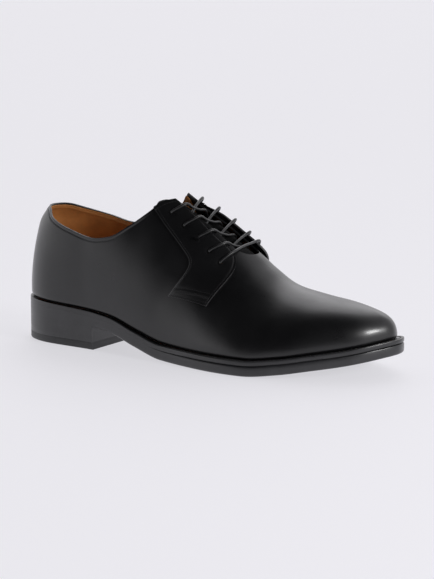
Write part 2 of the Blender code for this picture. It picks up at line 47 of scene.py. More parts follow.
OUTLINE = (
    # along, width, outer, inner, reach
    (0.000, HEEL_WIDTH, 0.000, 0.000, 0.25),
    (0.012, HEEL_WIDTH, 0.205, 0.205, 0.25),
    (0.035, HEEL_WIDTH, 0.325, 0.325, 0.25),
    (0.080, HEEL_WIDTH, 0.435, 0.435, 0.25),
    (0.130, HEEL_WIDTH, 0.478, 0.475, 0.25),
    (0.200, HEEL_WIDTH, 0.503, 0.492, 0.28),
    (0.300, WAIST_WIDTH, 0.525, 0.430, 0.40),
    (0.400, WAIST_WIDTH, 0.595, 0.408, 0.55),
    (0.480, WAIST_WIDTH, 0.660, 0.446, 0.75),
    (0.550, BALL_WIDTH, 0.462, 0.348, 0.90),
    (0.620, BALL_WIDTH, 0.495, 0.426, 1.00),
    (0.670, BALL_WIDTH, 0.504, 0.475, 1.00),
    (0.720, BALL_WIDTH, 0.491, 0.511, 1.00),
    (0.780, BALL_WIDTH, 0.446, 0.526, 1.00),
    (0.850, BALL_WIDTH, 0.353, 0.509, 1.00),
    (0.910, BALL_WIDTH, 0.229, 0.453, 1.05),
    (0.955, BALL_WIDTH, 0.105, 0.379, 1.10),
    (0.985, BALL_WIDTH, -0.025, 0.286, 1.10),
    (1.000, BALL_WIDTH, -0.149, 0.149, 1.10),
)
SOLE_LINE = (
    # along, heel, spring
    (0.000, 1.185, 0.000),
    (0.110, 1.100, 0.000),
    (0.220, 1.000, 0.000),
    (0.295, 0.852, 0.000),
    (0.377, 0.430, 0.000),
    (0.460, 0.080, 0.000),
    (0.540, 0.020, 0.000),
    (0.620, 0.000, 0.000),
    (0.700, 0.000, 0.000),
    (0.787, 0.000, 0.185),
    (0.850, 0.000, 0.400),
    (0.920, 0.000, 0.630),
    (1.000, 0.000, 1.000),
)


def columns(table):
    """A table's columns, each as an array."""
    return [np.array(column) for column in zip(*table)]


def smooth(rows, values):
    """A curve through values at rows whose bend runs on evenly: a natural cubic spline."""
    count, step = len(rows), np.diff(rows)
    system, right = np.eye(count), np.zeros(count)
    for i in range(1, count - 1):
        system[i, i - 1:i + 2] = step[i - 1], 2 * (step[i - 1] + step[i]), step[i]
        ahead, behind = (values[i + 1] - values[i]) / step[i], (values[i] - values[i - 1]) / step[i - 1]
        right[i] = 6 * (ahead - behind)
    bend = np.linalg.solve(system, right)

    def value(at):
        k = np.clip(np.searchsorted(rows, at, side="right") - 1, 0, count - 2)
        before, after, wide = at - rows[k], rows[k + 1] - at, step[k]
        curved = (bend[k] * after**3 + bend[k + 1] * before**3) / (6 * wide)
        curved = curved + (values[k] / wide - bend[k] * wide / 6) * after
        return curved + (values[k + 1] / wide - bend[k + 1] * wide / 6) * before

    return value


def steady(rows, values):
    """A curve through values at rows that never swings past them."""
    step, rate = np.diff(rows), np.diff(values) / np.diff(rows)
    total = np.where(rate[:-1] + rate[1:] == 0, 1, rate[:-1] + rate[1:])
    middle = np.where(rate[:-1] * rate[1:] > 0, 2 * rate[:-1] * rate[1:] / total, 0)
    slope = np.concatenate([rate[:1], middle, rate[-1:]])

    def value(at):
        k = np.clip(np.searchsorted(rows, at, side="right") - 1, 0, len(rows) - 2)
        t = np.clip((at - rows[k]) / step[k], 0, 1)
        low = (1 + 2 * t) * (1 - t)**2 * values[k] + t * (1 - t)**2 * step[k] * slope[k]
        return low + t**2 * (3 - 2 * t) * values[k + 1] + t**2 * (t - 1) * step[k] * slope[k + 1]

    return value


def ease(low, high, at):
    """From 0 at low to 1 at high, gently at both ends."""
    t = np.clip((np.asarray(at, float) - low) / (high - low), 0, 1)
    return t * t * (3 - 2 * t)


rows, heel_share, spring_share = columns(SOLE_LINE)
sole_bottom = steady(rows, heel_share * HEEL_HEIGHT + spring_share * TOE_SPRING)
along_rows, width, outer, inner, reach = columns(OUTLINE)
leg = np.hypot(np.diff(along_rows) * LENGTH, np.diff(outer * width))
leg = leg + np.hypot(np.diff(along_rows) * LENGTH, np.diff(inner * width))
station_rows = np.concatenate([[0], np.cumsum((0.5 * leg)**0.8)]) / ((0.5 * leg)**0.8).sum()


def around(own, other):
    """One side's values between the other side's, so that a curve runs smoothly round both tips."""
    return np.concatenate([other[:0:-1], own, other[-2::-1]])


ring_rows = around(station_rows, -station_rows)
ring_rows[-len(station_rows) + 1:] += 2
edge_x = smooth(ring_rows, around(along_rows, along_rows) * LENGTH)
edge_y = {-1: smooth(ring_rows, around(-outer * width, inner * width)),
          1: smooth(ring_rows, around(inner * width, -outer * width))}
edge_reach = smooth(ring_rows, around(reach, reach) * WELT_REACH)
every = np.linspace(0, 1, 401)
PLACE = np.array([-LENGTH / 2, -(edge_y[1](every).max() + edge_y[-1](every).min()) / 2, 0.0])


def inset(station, side, distance):
    """A point of the sole's outline, moved inward by a distance."""
    nudge = 1e-4
    run_x = edge_x(station + nudge) - edge_x(station - nudge)
    run_y = edge_y[side](station + nudge) - edge_y[side](station - nudge)
    run = np.hypot(run_x, run_y)
    return (edge_x(station) + side * run_y / run * distance,
            edge_y[side](station) - side * run_x / run * distance)


def station_at(along):
    """The station whose outline point lies at a share of the length."""
    along = np.asarray(along, float)
    low, high = 0 * along, 0 * along + 1
    for _ in range(36):
        middle = (low + high) / 2
        short = edge_x(middle) < along * LENGTH
        low, high = np.where(short, middle, low), np.where(short, high, middle)
    return (low + high) / 2


def welt_top(along):
    """Height of the welt's top over the floor."""
    return sole_bottom(along) + OUTSOLE + SEAM + WELT


def plain_mesh(name, patches, join=1e-6, outward=False, sharp=35):
    """A mesh of point grids, doubled points joined, moved to its place in the frame."""
    points, faces, base = [], [], 0
    for patch in patches:
        patch = np.asarray(patch, float)
        n, m = patch.shape[:2]
        index = base + np.arange(n * m).reshape(n, m)
        points.append(patch.reshape(-1, 3) + PLACE)
        corners = index[:-1, :-1], index[:-1, 1:], index[1:, 1:], index[1:, :-1]
        faces.append(np.stack(corners, -1).reshape(-1, 4))
        base += n * m
    made = bpy.data.meshes.new(name)
    made.from_pydata(np.concatenate(points).tolist(), [], np.concatenate(faces).tolist())
    form = bmesh.new()
    form.from_mesh(made)
    bmesh.ops.remove_doubles(form, verts=form.verts, dist=join)
    if outward:
        bmesh.ops.recalc_face_normals(form, faces=form.faces)
    form.to_mesh(made)
    form.free()
    made.shade_smooth()
    made.set_sharp_from_angle(angle=math.radians(sharp))
    return made


def place(name, mesh, material, slot, *nodes):
    """The piece in the scene: its finish, its body and the nodes that it stands for. The slot is not
    used.
    """
    piece = bpy.data.objects.new(name, mesh)
    bpy.context.scene.collection.objects.link(piece)
    mesh.materials.clear()
    mesh.materials.append(material)
    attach(piece, "root")
    if nodes:
        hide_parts(*nodes)
    return piece


def plate_rings(stations, rings, frame_ring=False):
    """Patches of a plate from its rings, each an inset line and a height, both along the shoe."""
    sides = []
    for side in (-1, 1):
        grid = []
        for line, height in rings:
            x, y = line(stations, side)
            grid.append(np.stack([x, y, height(x / LENGTH) + 0 * x], -1))
        sides.append(np.stack(grid))
    patches = list(sides)
    if frame_ring:
        patches += [np.stack([s[-1], s[0]]) for s in sides]
    else:
        patches += [np.stack([sides[0][0], sides[1][0]]), np.stack([sides[0][-1], sides[1][-1]])]
        if stations[-1] < 1:
            patches.append(np.stack([sides[0][:, -1], sides[1][:, -1]]))
    return patches


def node_set(name, colour, roughness):
    """A new material, its shader and a function that adds nodes and links them."""
    made = bpy.data.materials.new(name)
    made.use_nodes = True
    tree = made.node_tree
    shader = tree.nodes["Principled BSDF"]
    shader.inputs["Base Color"].default_value = (*colour, 1)
    shader.inputs["Roughness"].default_value = roughness

    def add(kind, values=None, **settings):
        node = tree.nodes.new(kind)
        for key, value in settings.items():
            setattr(node, key, value)
        for key, value in (values or {}).items():
            if isinstance(value, bpy.types.NodeSocket):
                tree.links.new(value, node.inputs[key])
            else:
                node.inputs[key].default_value = value
        return node

    def link(source, key):
        tree.links.new(source, shader.inputs[key])

    where = add("ShaderNodeTexCoord").outputs["Object"]
    return made, shader, add, link, where


def mapped(add, where, scale):
    return add("ShaderNodeMapping", {"Vector": where, "Scale": scale}).outputs["Vector"]


def noise(add, vector, scale, detail=3.0, roughness=0.55):
    return add("ShaderNodeTexNoise", {"Vector": vector, "Scale": scale, "Detail": detail,
                                      "Roughness": roughness}).outputs["Fac"]


def spread(add, value, low, high):
    """A noise's middle range, drawn out from low to high."""
    return add("ShaderNodeMapRange", {"Value": value, "From Min": 0.3, "From Max": 0.7, "To Min": low,
                                      "To Max": high}).outputs["Result"]


def tint(add, value, low, high):
    """A colour between two."""
    node = add("ShaderNodeMix", {0: value, 6: (*low, 1), 7: (*high, 1)}, data_type="RGBA")
    return node.outputs[2]


def bump(add, height, distance, strength=1.0, normal=None):
    """A fine relief, laid over another where one is given."""
    values = {"Height": height, "Distance": distance, "Strength": strength}
    if normal is not None:
        values["Normal"] = normal
    return add("ShaderNodeBump", values).outputs["Normal"]


def waxed_edge(name, low, high, roughness):
    """Blackened, waxed sole edge: faint layers along the edge, fine scratches, satin gloss."""
    made, shader, add, link, where = node_set(name, low, roughness)
    layers = noise(add, mapped(add, where, (40, 40, 1500)), 1.0, 2.0)
    cloud = noise(add, where, 60.0)
    fine = noise(add, where, 1600.0, 2.0)
    link(tint(add, spread(add, cloud, 0, 1), low, high), "Base Color")
    link(spread(add, layers, roughness - 0.05, roughness + 0.08), "Roughness")
    link(bump(add, layers, 0.00004, 0.5, bump(add, fine, 0.00002, 0.6)), "Normal")
    return made, shader


sole_edge, sole_shader = waxed_edge("sole_edge_wax", (0.017, 0.017, 0.0185), (0.029, 0.029, 0.0315), 0.34)
sole_shader.inputs["Coat Weight"].default_value = 0.25
sole_shader.inputs["Coat Roughness"].default_value = 0.22
SOLE_STATIONS = np.linspace(0, 1, 321)


def groove(along):
    """How open the groove between welt and outsole is: shut at the heel, open at the forefoot."""
    return ease(0.40, 0.56, along)


def edge_ring(distance, opened, height):
    """A ring inset by a distance, and by more where the groove opens."""
    def line(station, side):
        return inset(station, side, distance + opened * groove(edge_x(station) / LENGTH))
    return line, height


HEEL_LENGTH = 0.074


def bare(along):
    """Where the outsole's underside shows: 0 over the heel block, 1 from its breast on."""
    return ease(HEEL_LENGTH / LENGTH, HEEL_LENGTH / LENGTH + 0.012, along)


def trimmed_ring(distance, height):
    """A ring of the outsole's rounded lower edge, which fades out over the heel block."""
    def line(station, side):
        return inset(station, side, distance * bare(edge_x(station) / LENGTH))
    return line, lambda a: sole_bottom(a) + height


outsole_rings = [
    trimmed_ring(0.0016, 0.0),
    trimmed_ring(0.0010, 0.0002),
    trimmed_ring(0.0004, 0.0007),
    trimmed_ring(0.0001, 0.0016),
    edge_ring(0.0, 0, lambda a: sole_bottom(a) + 0.5 * OUTSOLE),
    edge_ring(0.0, 0.0001, lambda a: sole_bottom(a) + OUTSOLE - 0.0010),
    edge_ring(0.0, 0.0003, lambda a: sole_bottom(a) + OUTSOLE - 0.0004),
    edge_ring(0.0, 0.0009, lambda a: sole_bottom(a) + OUTSOLE + 0.0001),
    edge_ring(0.0, 0.0014, lambda a: sole_bottom(a) + OUTSOLE + 0.00025),
]
outsole_mesh = plain_mesh("outsole_leather", plate_rings(SOLE_STATIONS, outsole_rings), outward=True)
place("outsole_leather", outsole_mesh, sole_edge, "sole_edge", "outsole")

# Heel: a block of stacked lifts, trimmed flush with the sole and finished like its edge, with a
# rubber top piece nailed on underneath that wears on the floor.
TOP_PIECE = 0.0055
heel_stations = np.linspace(0, float(station_at(HEEL_LENGTH / LENGTH)), 121)
block_rings = [
    edge_ring(0.00008, 0, lambda a: TOP_PIECE + 0.00005),
    edge_ring(0.0, 0, lambda a: TOP_PIECE + 0.0002),
    edge_ring(0.0, 0, lambda a: sole_bottom(a) * 0.5),
    edge_ring(0.0, 0, lambda a: sole_bottom(a) - 0.0004),
    edge_ring(0.0, 0, lambda a: sole_bottom(a) - 0.00002),
]
stack_mesh = plain_mesh("heel_stack", plate_rings(heel_stations, block_rings), outward=True)
place("heel_stack", stack_mesh, sole_edge, "sole_edge", "heel_block")
heel_rubber, *_ = waxed_edge("heel_rubber", (0.018, 0.018, 0.0195), (0.028, 0.028, 0.0305), 0.42)
top_rings = [
    edge_ring(0.0010, 0, lambda a: 0.0),
    edge_ring(0.0004, 0, lambda a: 0.0002),
    edge_ring(0.0, 0, lambda a: 0.0008),
    edge_ring(0.0, 0, lambda a: TOP_PIECE - 0.00015),
    edge_ring(0.00008, 0, lambda a: TOP_PIECE),
]
rubber_mesh = plain_mesh("heel_rubber_piece", plate_rings(heel_stations, top_rings), outward=True)
place("heel_rubber_piece", rubber_mesh, heel_rubber, "heel_rubber", "heel_top_piece")

# Welt: a strip of leather stitched round the foot of the upper and down to the outsole. Its
# ledge is widest at the ball and the toe, and narrows to nothing at the waist and the heel.
WALL, FOOT_SEAM = 0.0020, 0.0004
HEEL_TURN_IN, TOE_TURN_IN = 0.0028, 0.0012
HEEL_TURN_HEIGHT, TOE_TURN_HEIGHT = 0.0042, 0.0028
welt_wax, welt_shader = waxed_edge("welt_wax", (0.012, 0.012, 0.013), (0.022, 0.022, 0.024), 0.36)
welt_shader.inputs["Coat Weight"].default_value = 0.3
welt_shader.inputs["Coat Roughness"].default_value = 0.2


def turn_in(along):
    """How far the upper's foot turns in: deep at the heel and the waist, less at the forefoot."""
    return HEEL_TURN_IN - (HEEL_TURN_IN - TOE_TURN_IN) * groove(along)


def turn_height(along):
    """How high over the welt the turned-in foot ends."""
    return HEEL_TURN_HEIGHT - (HEEL_TURN_HEIGHT - TOE_TURN_HEIGHT) * groove(along)


def foot_line(distance):
    """A line under the upper's outer face, moved inward by a distance."""
    return lambda station, side: inset(station, side, edge_reach(station) + distance)


def wall_foot(distance):
    """A line under the inner side of the upper's turned-in foot, moved inward by a distance."""
    return lambda station, side: inset(
        station, side, edge_reach(station) + turn_in(edge_x(station) / LENGTH) + WALL + distance)


def ledge_ring(share, low, channel=0.0):
    """A ring on the welt's ledge, sunk by a little and by a channel where the ledge is wide."""
    return (lambda station, side: inset(station, side, edge_reach(station) * share),
            lambda a: welt_top(a) - low - channel * groove(a))


STITCH_SHARE = 0.52
welt_rings = [
    edge_ring(0.0, 0.0012, lambda a: welt_top(a) - WELT - 0.0001),
    edge_ring(0.0, 0.0006, lambda a: welt_top(a) - WELT),
    edge_ring(0.0, 0.0001, lambda a: welt_top(a) - WELT + 0.0006),
    edge_ring(0.0, 0.0, lambda a: welt_top(a) - 0.0009),
    ledge_ring(0.04, 0.0003),
    ledge_ring(0.14, 0.0),
    ledge_ring(STITCH_SHARE - 0.12, 0.0),
    ledge_ring(STITCH_SHARE, 0.0, 0.0003),
    ledge_ring(STITCH_SHARE + 0.12, 0.0),
    (foot_line(-0.0002), lambda a: welt_top(a) - 0.0001),
    (wall_foot(0), lambda a: welt_top(a) - 0.0001),
    (wall_foot(0), lambda a: welt_top(a) - WELT),
]
welt_mesh = plain_mesh("welt_strip", plate_rings(SOLE_STATIONS, welt_rings, True), outward=True)
place("welt_strip", welt_mesh, welt_wax, "welt_leather", "welt")


def solid_mesh(piece):
    """The piece's modifiers made part of its mesh."""
    bpy.context.view_layer.update()
    made = bpy.data.meshes.new_from_object(piece.evaluated_get(bpy.context.evaluated_depsgraph_get()))
    piece.modifiers.clear()
    piece.data = made
    return piece


black_thread, _, add, link, where = node_set("black_thread", (0.010, 0.010, 0.011), 0.5)
twist = add("ShaderNodeTexWave", {"Vector": where, "Scale": 900.0, "Distortion": 1.5})
link(spread(add, twist.outputs["Fac"], 0.4, 0.6), "Roughness")
link(bump(add, twist.outputs["Fac"], 0.00003, 0.6), "Normal")


def stitch_tree():
    """Nodes that lay a thread at every pitch along ways, each thread in its point's direction."""
    tree = bpy.data.node_groups.new("stitches", "GeometryNodeTree")
    tree.interface.new_socket("Geometry", in_out="INPUT", socket_type="NodeSocketGeometry")
    for name in ("Pitch", "Length", "Thickness"):
        tree.interface.new_socket(name, in_out="INPUT", socket_type="NodeSocketFloat")
    tree.interface.new_socket("Thread", in_out="INPUT", socket_type="NodeSocketMaterial")
    tree.interface.new_socket("Geometry", in_out="OUTPUT", socket_type="NodeSocketGeometry")
    new, join = tree.nodes.new, tree.links.new
    given, made = new("NodeGroupInput"), new("NodeGroupOutput")
    ways, spaced = new("GeometryNodeMeshToCurve"), new("GeometryNodeResampleCurve")
    spaced.mode = "LENGTH"
    thread = new("GeometryNodeMeshUVSphere")
    for key, value in (("Segments", 8), ("Rings", 6), ("Radius", 0.5)):
        thread.inputs[key].default_value = value
    uneven = new("FunctionNodeRandomValue")
    uneven.data_type = "FLOAT"
    low, high = [s for s in uneven.inputs if s.type == "VALUE"][:2]
    low.default_value, high.default_value = 0.88, 1.08
    uneven.inputs["Seed"].default_value = 7
    stretch = new("ShaderNodeMath")
    stretch.operation = "MULTIPLY"
    size = new("ShaderNodeCombineXYZ")
    held, lie = new("GeometryNodeInputNamedAttribute"), new("FunctionNodeAlignRotationToVector")
    held.data_type = "FLOAT_VECTOR"
    held.inputs["Name"].default_value = "lie"
    lie.axis = "X"
    put, round_off = new("GeometryNodeInstanceOnPoints"), new("GeometryNodeSetShadeSmooth")
    real, dress = new("GeometryNodeRealizeInstances"), new("GeometryNodeSetMaterial")
    join(given.outputs["Geometry"], ways.inputs["Mesh"])
    join(ways.outputs["Curve"], spaced.inputs["Curve"])
    join(given.outputs["Pitch"], spaced.inputs["Length"])
    join(next(s for s in uneven.outputs if s.type == "VALUE"), stretch.inputs[0])
    join(given.outputs["Length"], stretch.inputs[1])
    join(stretch.outputs[0], size.inputs["X"])
    join(given.outputs["Thickness"], size.inputs["Y"])
    join(given.outputs["Thickness"], size.inputs["Z"])
    join(next(s for s in held.outputs if s.type == "VECTOR"), lie.inputs["Vector"])
    join(spaced.outputs["Curve"], put.inputs["Points"])
    join(thread.outputs["Mesh"], put.inputs["Instance"])
    join(lie.outputs["Rotation"], put.inputs["Rotation"])
    join(size.outputs["Vector"], put.inputs["Scale"])
    join(put.outputs["Instances"], real.inputs["Geometry"])
    join(real.outputs["Geometry"], round_off.inputs["Geometry"])
    join(round_off.outputs["Geometry"], dress.inputs["Geometry"])
    join(given.outputs["Thread"], dress.inputs["Material"])
    join(dress.outputs["Geometry"], made.inputs["Geometry"])
    return tree


stitches = stitch_tree()


def stitch_rows(name, ways, pitch, length, thickness, slot):
    """Rows of stitches along ways. A way is its points, and how its threads lie if not along it."""
    points, edges, lies = [], [], []
    for way, lie in ways:
        way = np.asarray(way) + PLACE
        edges += [(len(points) + i, len(points) + i + 1) for i in range(len(way) - 1)]
        points += way.tolist()
        lies.append(np.gradient(way, axis=0) if lie is None else lie)
    lies = np.concatenate(lies)
    lies = lies / np.linalg.norm(lies, axis=1, keepdims=True)
    mesh = bpy.data.meshes.new(name)
    mesh.from_pydata(points, edges, [])
    mesh.attributes.new("lie", "FLOAT_VECTOR", "POINT").data.foreach_set("vector", lies.ravel())
    row = bpy.data.objects.new(name + "_way", mesh)
    bpy.context.scene.collection.objects.link(row)
    sewn = row.modifiers.new("stitches", "NODES")
    sewn.node_group = stitches
    values = {"Pitch": pitch, "Length": length, "Thickness": thickness, "Thread": black_thread}
    for item in stitches.interface.items_tree:
        if item.in_out == "INPUT" and item.name in values:
            sewn[item.identifier] = values[item.name]
    made = solid_mesh(row).data
    bpy.data.objects.remove(row)
    return place(name, made, black_thread, slot)


WELT_PITCH, WELT_STITCH, WELT_THREAD = 0.0029, 0.0025, 0.0007
ledge = np.linspace(float(station_at(0.50)), 1, 160)
ledge_sides = []
for side in (-1, 1):
    x, y = inset(ledge, side, edge_reach(ledge) * STITCH_SHARE)
    ledge_sides.append(np.stack([x, y, welt_top(x / LENGTH) - 0.00008], -1))
stitch_rows("welt_stitches", [(np.concatenate([ledge_sides[0], ledge_sides[1][-2::-1]]), None)],
            WELT_PITCH, WELT_STITCH, WELT_THREAD, "welt_leather")

# Upper: vamp and quarters of smooth black calf, closed over the last, polished to a satin shine.
# It turns in under its foot to the welt, and its edge at the collar and the throat is folded.
BACK_HEIGHT, FRONT_HEIGHT = 0.0685, 0.0810
BACK_LEAN, LEAN_DEPTH, LEAN_FROM, LEAN_TO = 0.0045, 0.0140, 0.05, 0.16
INSTEP_HEIGHT, BOX_HEIGHT = 0.0990, 0.0375
THROAT_GAP, THROAT_END, THROAT_ROUND = 0.0230, 0.625, 0.040
RIDGE = (
    # along, height, share, aside
    (0.150, BACK_HEIGHT, 1.755, 0.000),
    (0.250, BACK_HEIGHT, 1.765, 0.000),
    (0.330, INSTEP_HEIGHT, 1.160, 0.005),
    (0.400, INSTEP_HEIGHT, 1.115, 0.015),
    (0.460, INSTEP_HEIGHT, 1.035, 0.028),
    (0.520, INSTEP_HEIGHT, 0.920, 0.050),
    (0.580, INSTEP_HEIGHT, 0.775, 0.075),
    (0.640, INSTEP_HEIGHT, 0.622, 0.092),
    (0.700, INSTEP_HEIGHT, 0.488, 0.098),
    (0.760, BOX_HEIGHT, 1.090, 0.105),
    (0.820, BOX_HEIGHT, 0.930, 0.120),
    (0.880, BOX_HEIGHT, 0.770, 0.133),
    (0.940, BOX_HEIGHT, 0.580, 0.145),
)
SECTIONS = (
    # along, meets ridge at, outer lean, rise, flat, inner lean, rise, flat
    (0.00, 0.146, 0.05, 0.40, 0.38, 0.05, 0.40, 0.38),
    (0.05, 0.149, 0.08, 0.39, 0.43, 0.08, 0.39, 0.43),
    (0.12, 0.170, 0.10, 0.38, 0.55, 0.10, 0.38, 0.60),
    (0.20, 0.220, 0.12, 0.36, 0.65, 0.12, 0.36, 0.72),
    (0.30, 0.300, 0.12, 0.36, 0.65, 0.14, 0.36, 0.80),
    (0.40, 0.400, 0.06, 0.36, 0.60, 0.20, 0.36, 0.92),
    (0.50, 0.500, 0.00, 0.38, 0.46, 0.14, 0.42, 0.90),
    (0.60, 0.600, 0.03, 0.42, 0.34, 0.06, 0.48, 0.75),
    (0.70, 0.700, 0.06, 0.44, 0.42, 0.05, 0.52, 0.62),
    (0.78, 0.775, 0.08, 0.50, 0.54, 0.06, 0.56, 0.60),
    (0.86, 0.845, 0.08, 0.60, 0.60, 0.06, 0.60, 0.60),
    (0.93, 0.890, 0.06, 0.62, 0.62, 0.06, 0.62, 0.62),
    (1.00, 0.920, 0.05, 0.62, 0.65, 0.05, 0.62, 0.65),
)
COLLAR = (
    # along, height, outer, inner
    (0.000, BACK_HEIGHT, 1.000, 1.000),
    (0.030, BACK_HEIGHT, 0.990, 0.992),
    (0.090, BACK_HEIGHT, 0.905, 0.940),
    (0.160, BACK_HEIGHT, 0.815, 0.878),
    (0.240, BACK_HEIGHT, 0.746, 0.814),
    (0.290, BACK_HEIGHT, 0.780, 0.819),
    (0.340, BACK_HEIGHT, 0.910, 0.900),
    (0.385, FRONT_HEIGHT, 0.900, 0.880),
    (0.405, FRONT_HEIGHT, 0.970, 0.955),
    (0.420, FRONT_HEIGHT, 0.998, 1.020),
    (0.440, FRONT_HEIGHT, 1.010, 1.075),
    (0.462, FRONT_HEIGHT, 0.970, 1.045),
)
THROAT_TOP = COLLAR[-1][0]
rows, height, share, aside = columns(RIDGE)
ridge_height, ridge_aside = smooth(rows, height * share), smooth(rows, aside * BALL_WIDTH)
rows, meets = columns(SECTIONS)[:2]
meeting = smooth(rows, meets)
section_shape = {-1: [smooth(rows, column) for column in columns(SECTIONS)[2:5]],
                 1: [smooth(rows, column) for column in columns(SECTIONS)[5:8]]}
rows, height, outer_share, inner_share = columns(COLLAR)
collar_height = {-1: steady(rows, height * outer_share), 1: steady(rows, height * inner_share)}


def ridge(along):
    """Point of the top line, over the middle of the last."""
    return along * LENGTH, ridge_aside(along), welt_top(along) + ridge_height(along)


def last(station, girth, side):
    """Point of the upper's face: girth runs from 0 at the welt to 1 at the top line."""
    station, girth = np.broadcast_arrays(np.asarray(station, float), np.asarray(girth, float))
    along = edge_x(station) / LENGTH
    lean, rise, flat = (shape(along) for shape in section_shape[side])
    foot_x, foot_y = foot_line(0)(station, side)
    foot_z = welt_top(foot_x / LENGTH) + 0.00005
    at = meeting(along)
    top_x, top_y, top_z = ridge(at)
    nudge = 1e-3
    slope = (ridge(at + nudge)[2] - ridge(at - nudge)[2]) / (2 * nudge * LENGTH)
    out_x, out_y = foot_x - top_x, foot_y - top_y
    span, height = np.hypot(out_x, out_y), top_z - foot_z
    out_x, out_y = out_x / span, out_y / span
    rise, flat = rise * height, flat * span
    lean = lean * rise
    foot = np.stack([foot_x, foot_y, foot_z], -1)
    wall = foot + np.stack([out_x * lean, out_y * lean, rise], -1)
    top = np.stack([top_x, top_y, top_z], -1)
    crown = top + np.stack([out_x * flat, out_y * flat, slope * out_x * flat], -1)
    t = girth[..., None]
    point = (1 - t)**3 * foot + 3 * (1 - t)**2 * t * wall + 3 * (1 - t) * t**2 * crown + t**3 * top
    below = np.clip(1 - (point[..., 2] - foot_z) / turn_height(along), 0, 1)
    turned = turn_in(along) * (1 - np.sqrt(1 - below**2))
    over = np.maximum(point[..., 2] - foot_z - BACK_HEIGHT + LEAN_DEPTH, 0) / LEAN_DEPTH
    inward = turned + BACK_LEAN * over**2 * (1 - ease(LEAN_FROM, LEAN_TO, along))
    return point - np.stack([out_x * inward, out_y * inward, 0 * inward], -1)


def last_normal(station, girth, side):
    """Direction straight out of the last."""
    nudge = 1e-3
    station = np.minimum(station, 1 - 3 * nudge)
    ahead = last(station + nudge, girth, side) - last(station - nudge, girth, side)
    girth = np.clip(girth, nudge, 1)
    up = last(station, girth, side) - last(station, girth - nudge, side)
    normal = -side * np.cross(ahead, up)
    return normal / np.linalg.norm(normal, axis=-1, keepdims=True)


def top_girth(station, side):
    """Girth of the collar's, the throat's or the top line's edge."""
    station = np.asarray(station, float)
    along = edge_x(station) / LENGTH
    collar = welt_top(0.0) + collar_height[side](np.minimum(along, THROAT_TOP))
    closing = np.clip((along - THROAT_END + THROAT_ROUND) / THROAT_ROUND, 0, 1)
    half = THROAT_GAP / 2 * np.sqrt(1 - closing**2)
    middle = ridge_aside(along)
    low, high = 0 * station, 0 * station + 1
    for _ in range(30):
        girth = (low + high) / 2
        point = last(station, girth, side)
        past = (along <= THROAT_TOP) & (point[..., 2] > collar)
        past = past | ((girth > 0.5) & (np.abs(point[..., 1] - middle) < half))
        low, high = np.where(past, low, girth), np.where(past, girth, high)
    return np.where(along >= THROAT_END, 1.0, (low + high) / 2)


CREASES = (
    # side, from along, girth, to along, girth, width, depth
    (-1, 0.652, 0.97, 0.600, 0.52, 0.0060, 0.00030),
    (-1, 0.690, 1.00, 0.668, 0.62, 0.0070, 0.00025),
    (1, 0.652, 0.97, 0.625, 0.55, 0.0060, 0.00030),
    (1, 0.690, 1.00, 0.680, 0.60, 0.0070, 0.00022),
    (-1, 0.250, 0.52, 0.360, 0.56, 0.0130, 0.00060),
    (1, 0.250, 0.52, 0.360, 0.58, 0.0130, 0.00060),
    (-1, 0.430, 0.20, 0.475, 0.42, 0.0090, 0.00040),
    (-1, 0.215, 0.10, 0.200, 0.62, 0.0075, 0.00025),
    (1, 0.215, 0.10, 0.200, 0.62, 0.0075, 0.00025),
    (-1, 0.540, 0.10, 0.620, 0.24, 0.0100, 0.00035),
)


def wave(points, side):
    """How far the soft leather sinks in its creases, each a trough between two places on the last."""
    sunk = 0
    for on, a0, g0, a1, g1, width, depth in CREASES:
        if on != side:
            continue
        first, final = last(station_at(a0), g0, side), last(station_at(a1), g1, side)
        way = final - first
        share = np.clip(((points - first) @ way) / (way @ way), 0, 1)
        away = np.linalg.norm(points - first - share[..., None] * way, axis=-1)
        sunk = sunk + depth * np.exp(-(away / width)**2)
    return sunk


def over_last(station, girth, side, height):
    """A point over the last's creased skin, by a height along its normal."""
    face = last(station, girth, side)
    height = np.asarray(height) - wave(face, side)
    return face + last_normal(station, girth, side) * height[..., None]


def edge_drop(station, side, distance):
    """How much less girth a line has that runs a distance below the edge."""
    edge, nudge = top_girth(station, side), 0.01
    step = np.linalg.norm(last(station, edge, side) - last(station, edge - nudge, side), axis=-1)
    return distance / step * nudge


BACK_PART, FRONT_PART = 0.20, 0.86
turn = np.linspace(0, 1, 15)
throat_turn = THROAT_END - THROAT_ROUND + THROAT_ROUND * np.sin(turn * math.pi / 2)
upper_along = np.concatenate([
    np.linspace(BACK_PART, THROAT_TOP, 40, endpoint=False),
    np.linspace(THROAT_TOP, throat_turn[0], 24, endpoint=False),
    throat_turn[:-1], np.linspace(THROAT_END, FRONT_PART, 36, endpoint=False),
])
back, front = float(station_at(BACK_PART)), float(station_at(FRONT_PART))
upper_stations = np.concatenate([
    np.linspace(0, back, 34, endpoint=False), station_at(upper_along), np.linspace(front, 1, 45)])
UPPER_ROWS = 50
FOLD, COLLAR_ROW, COLLAR_CHANNEL, CHANNEL_WIDTH = 0.00035, 0.0027, 0.00018, 0.0006


def channel(away, depth):
    """A fine trough that a row of stitches lies in."""
    return depth * np.exp(-(away / CHANNEL_WIDTH)**2)


def folded(station, girth, edge, side):
    """The collar's folded edge stands up a little, and its row of stitches lies in a fine channel."""
    near = np.linalg.norm(last(station, girth, side) - last(station, edge, side), axis=-1)
    along = edge_x(station) / LENGTH
    roll = FOLD * (1 - ease(0.0012, 0.0022, near)) - channel(near - COLLAR_ROW, COLLAR_CHANNEL)
    return roll * (1 - ease(0.36, 0.40, along))


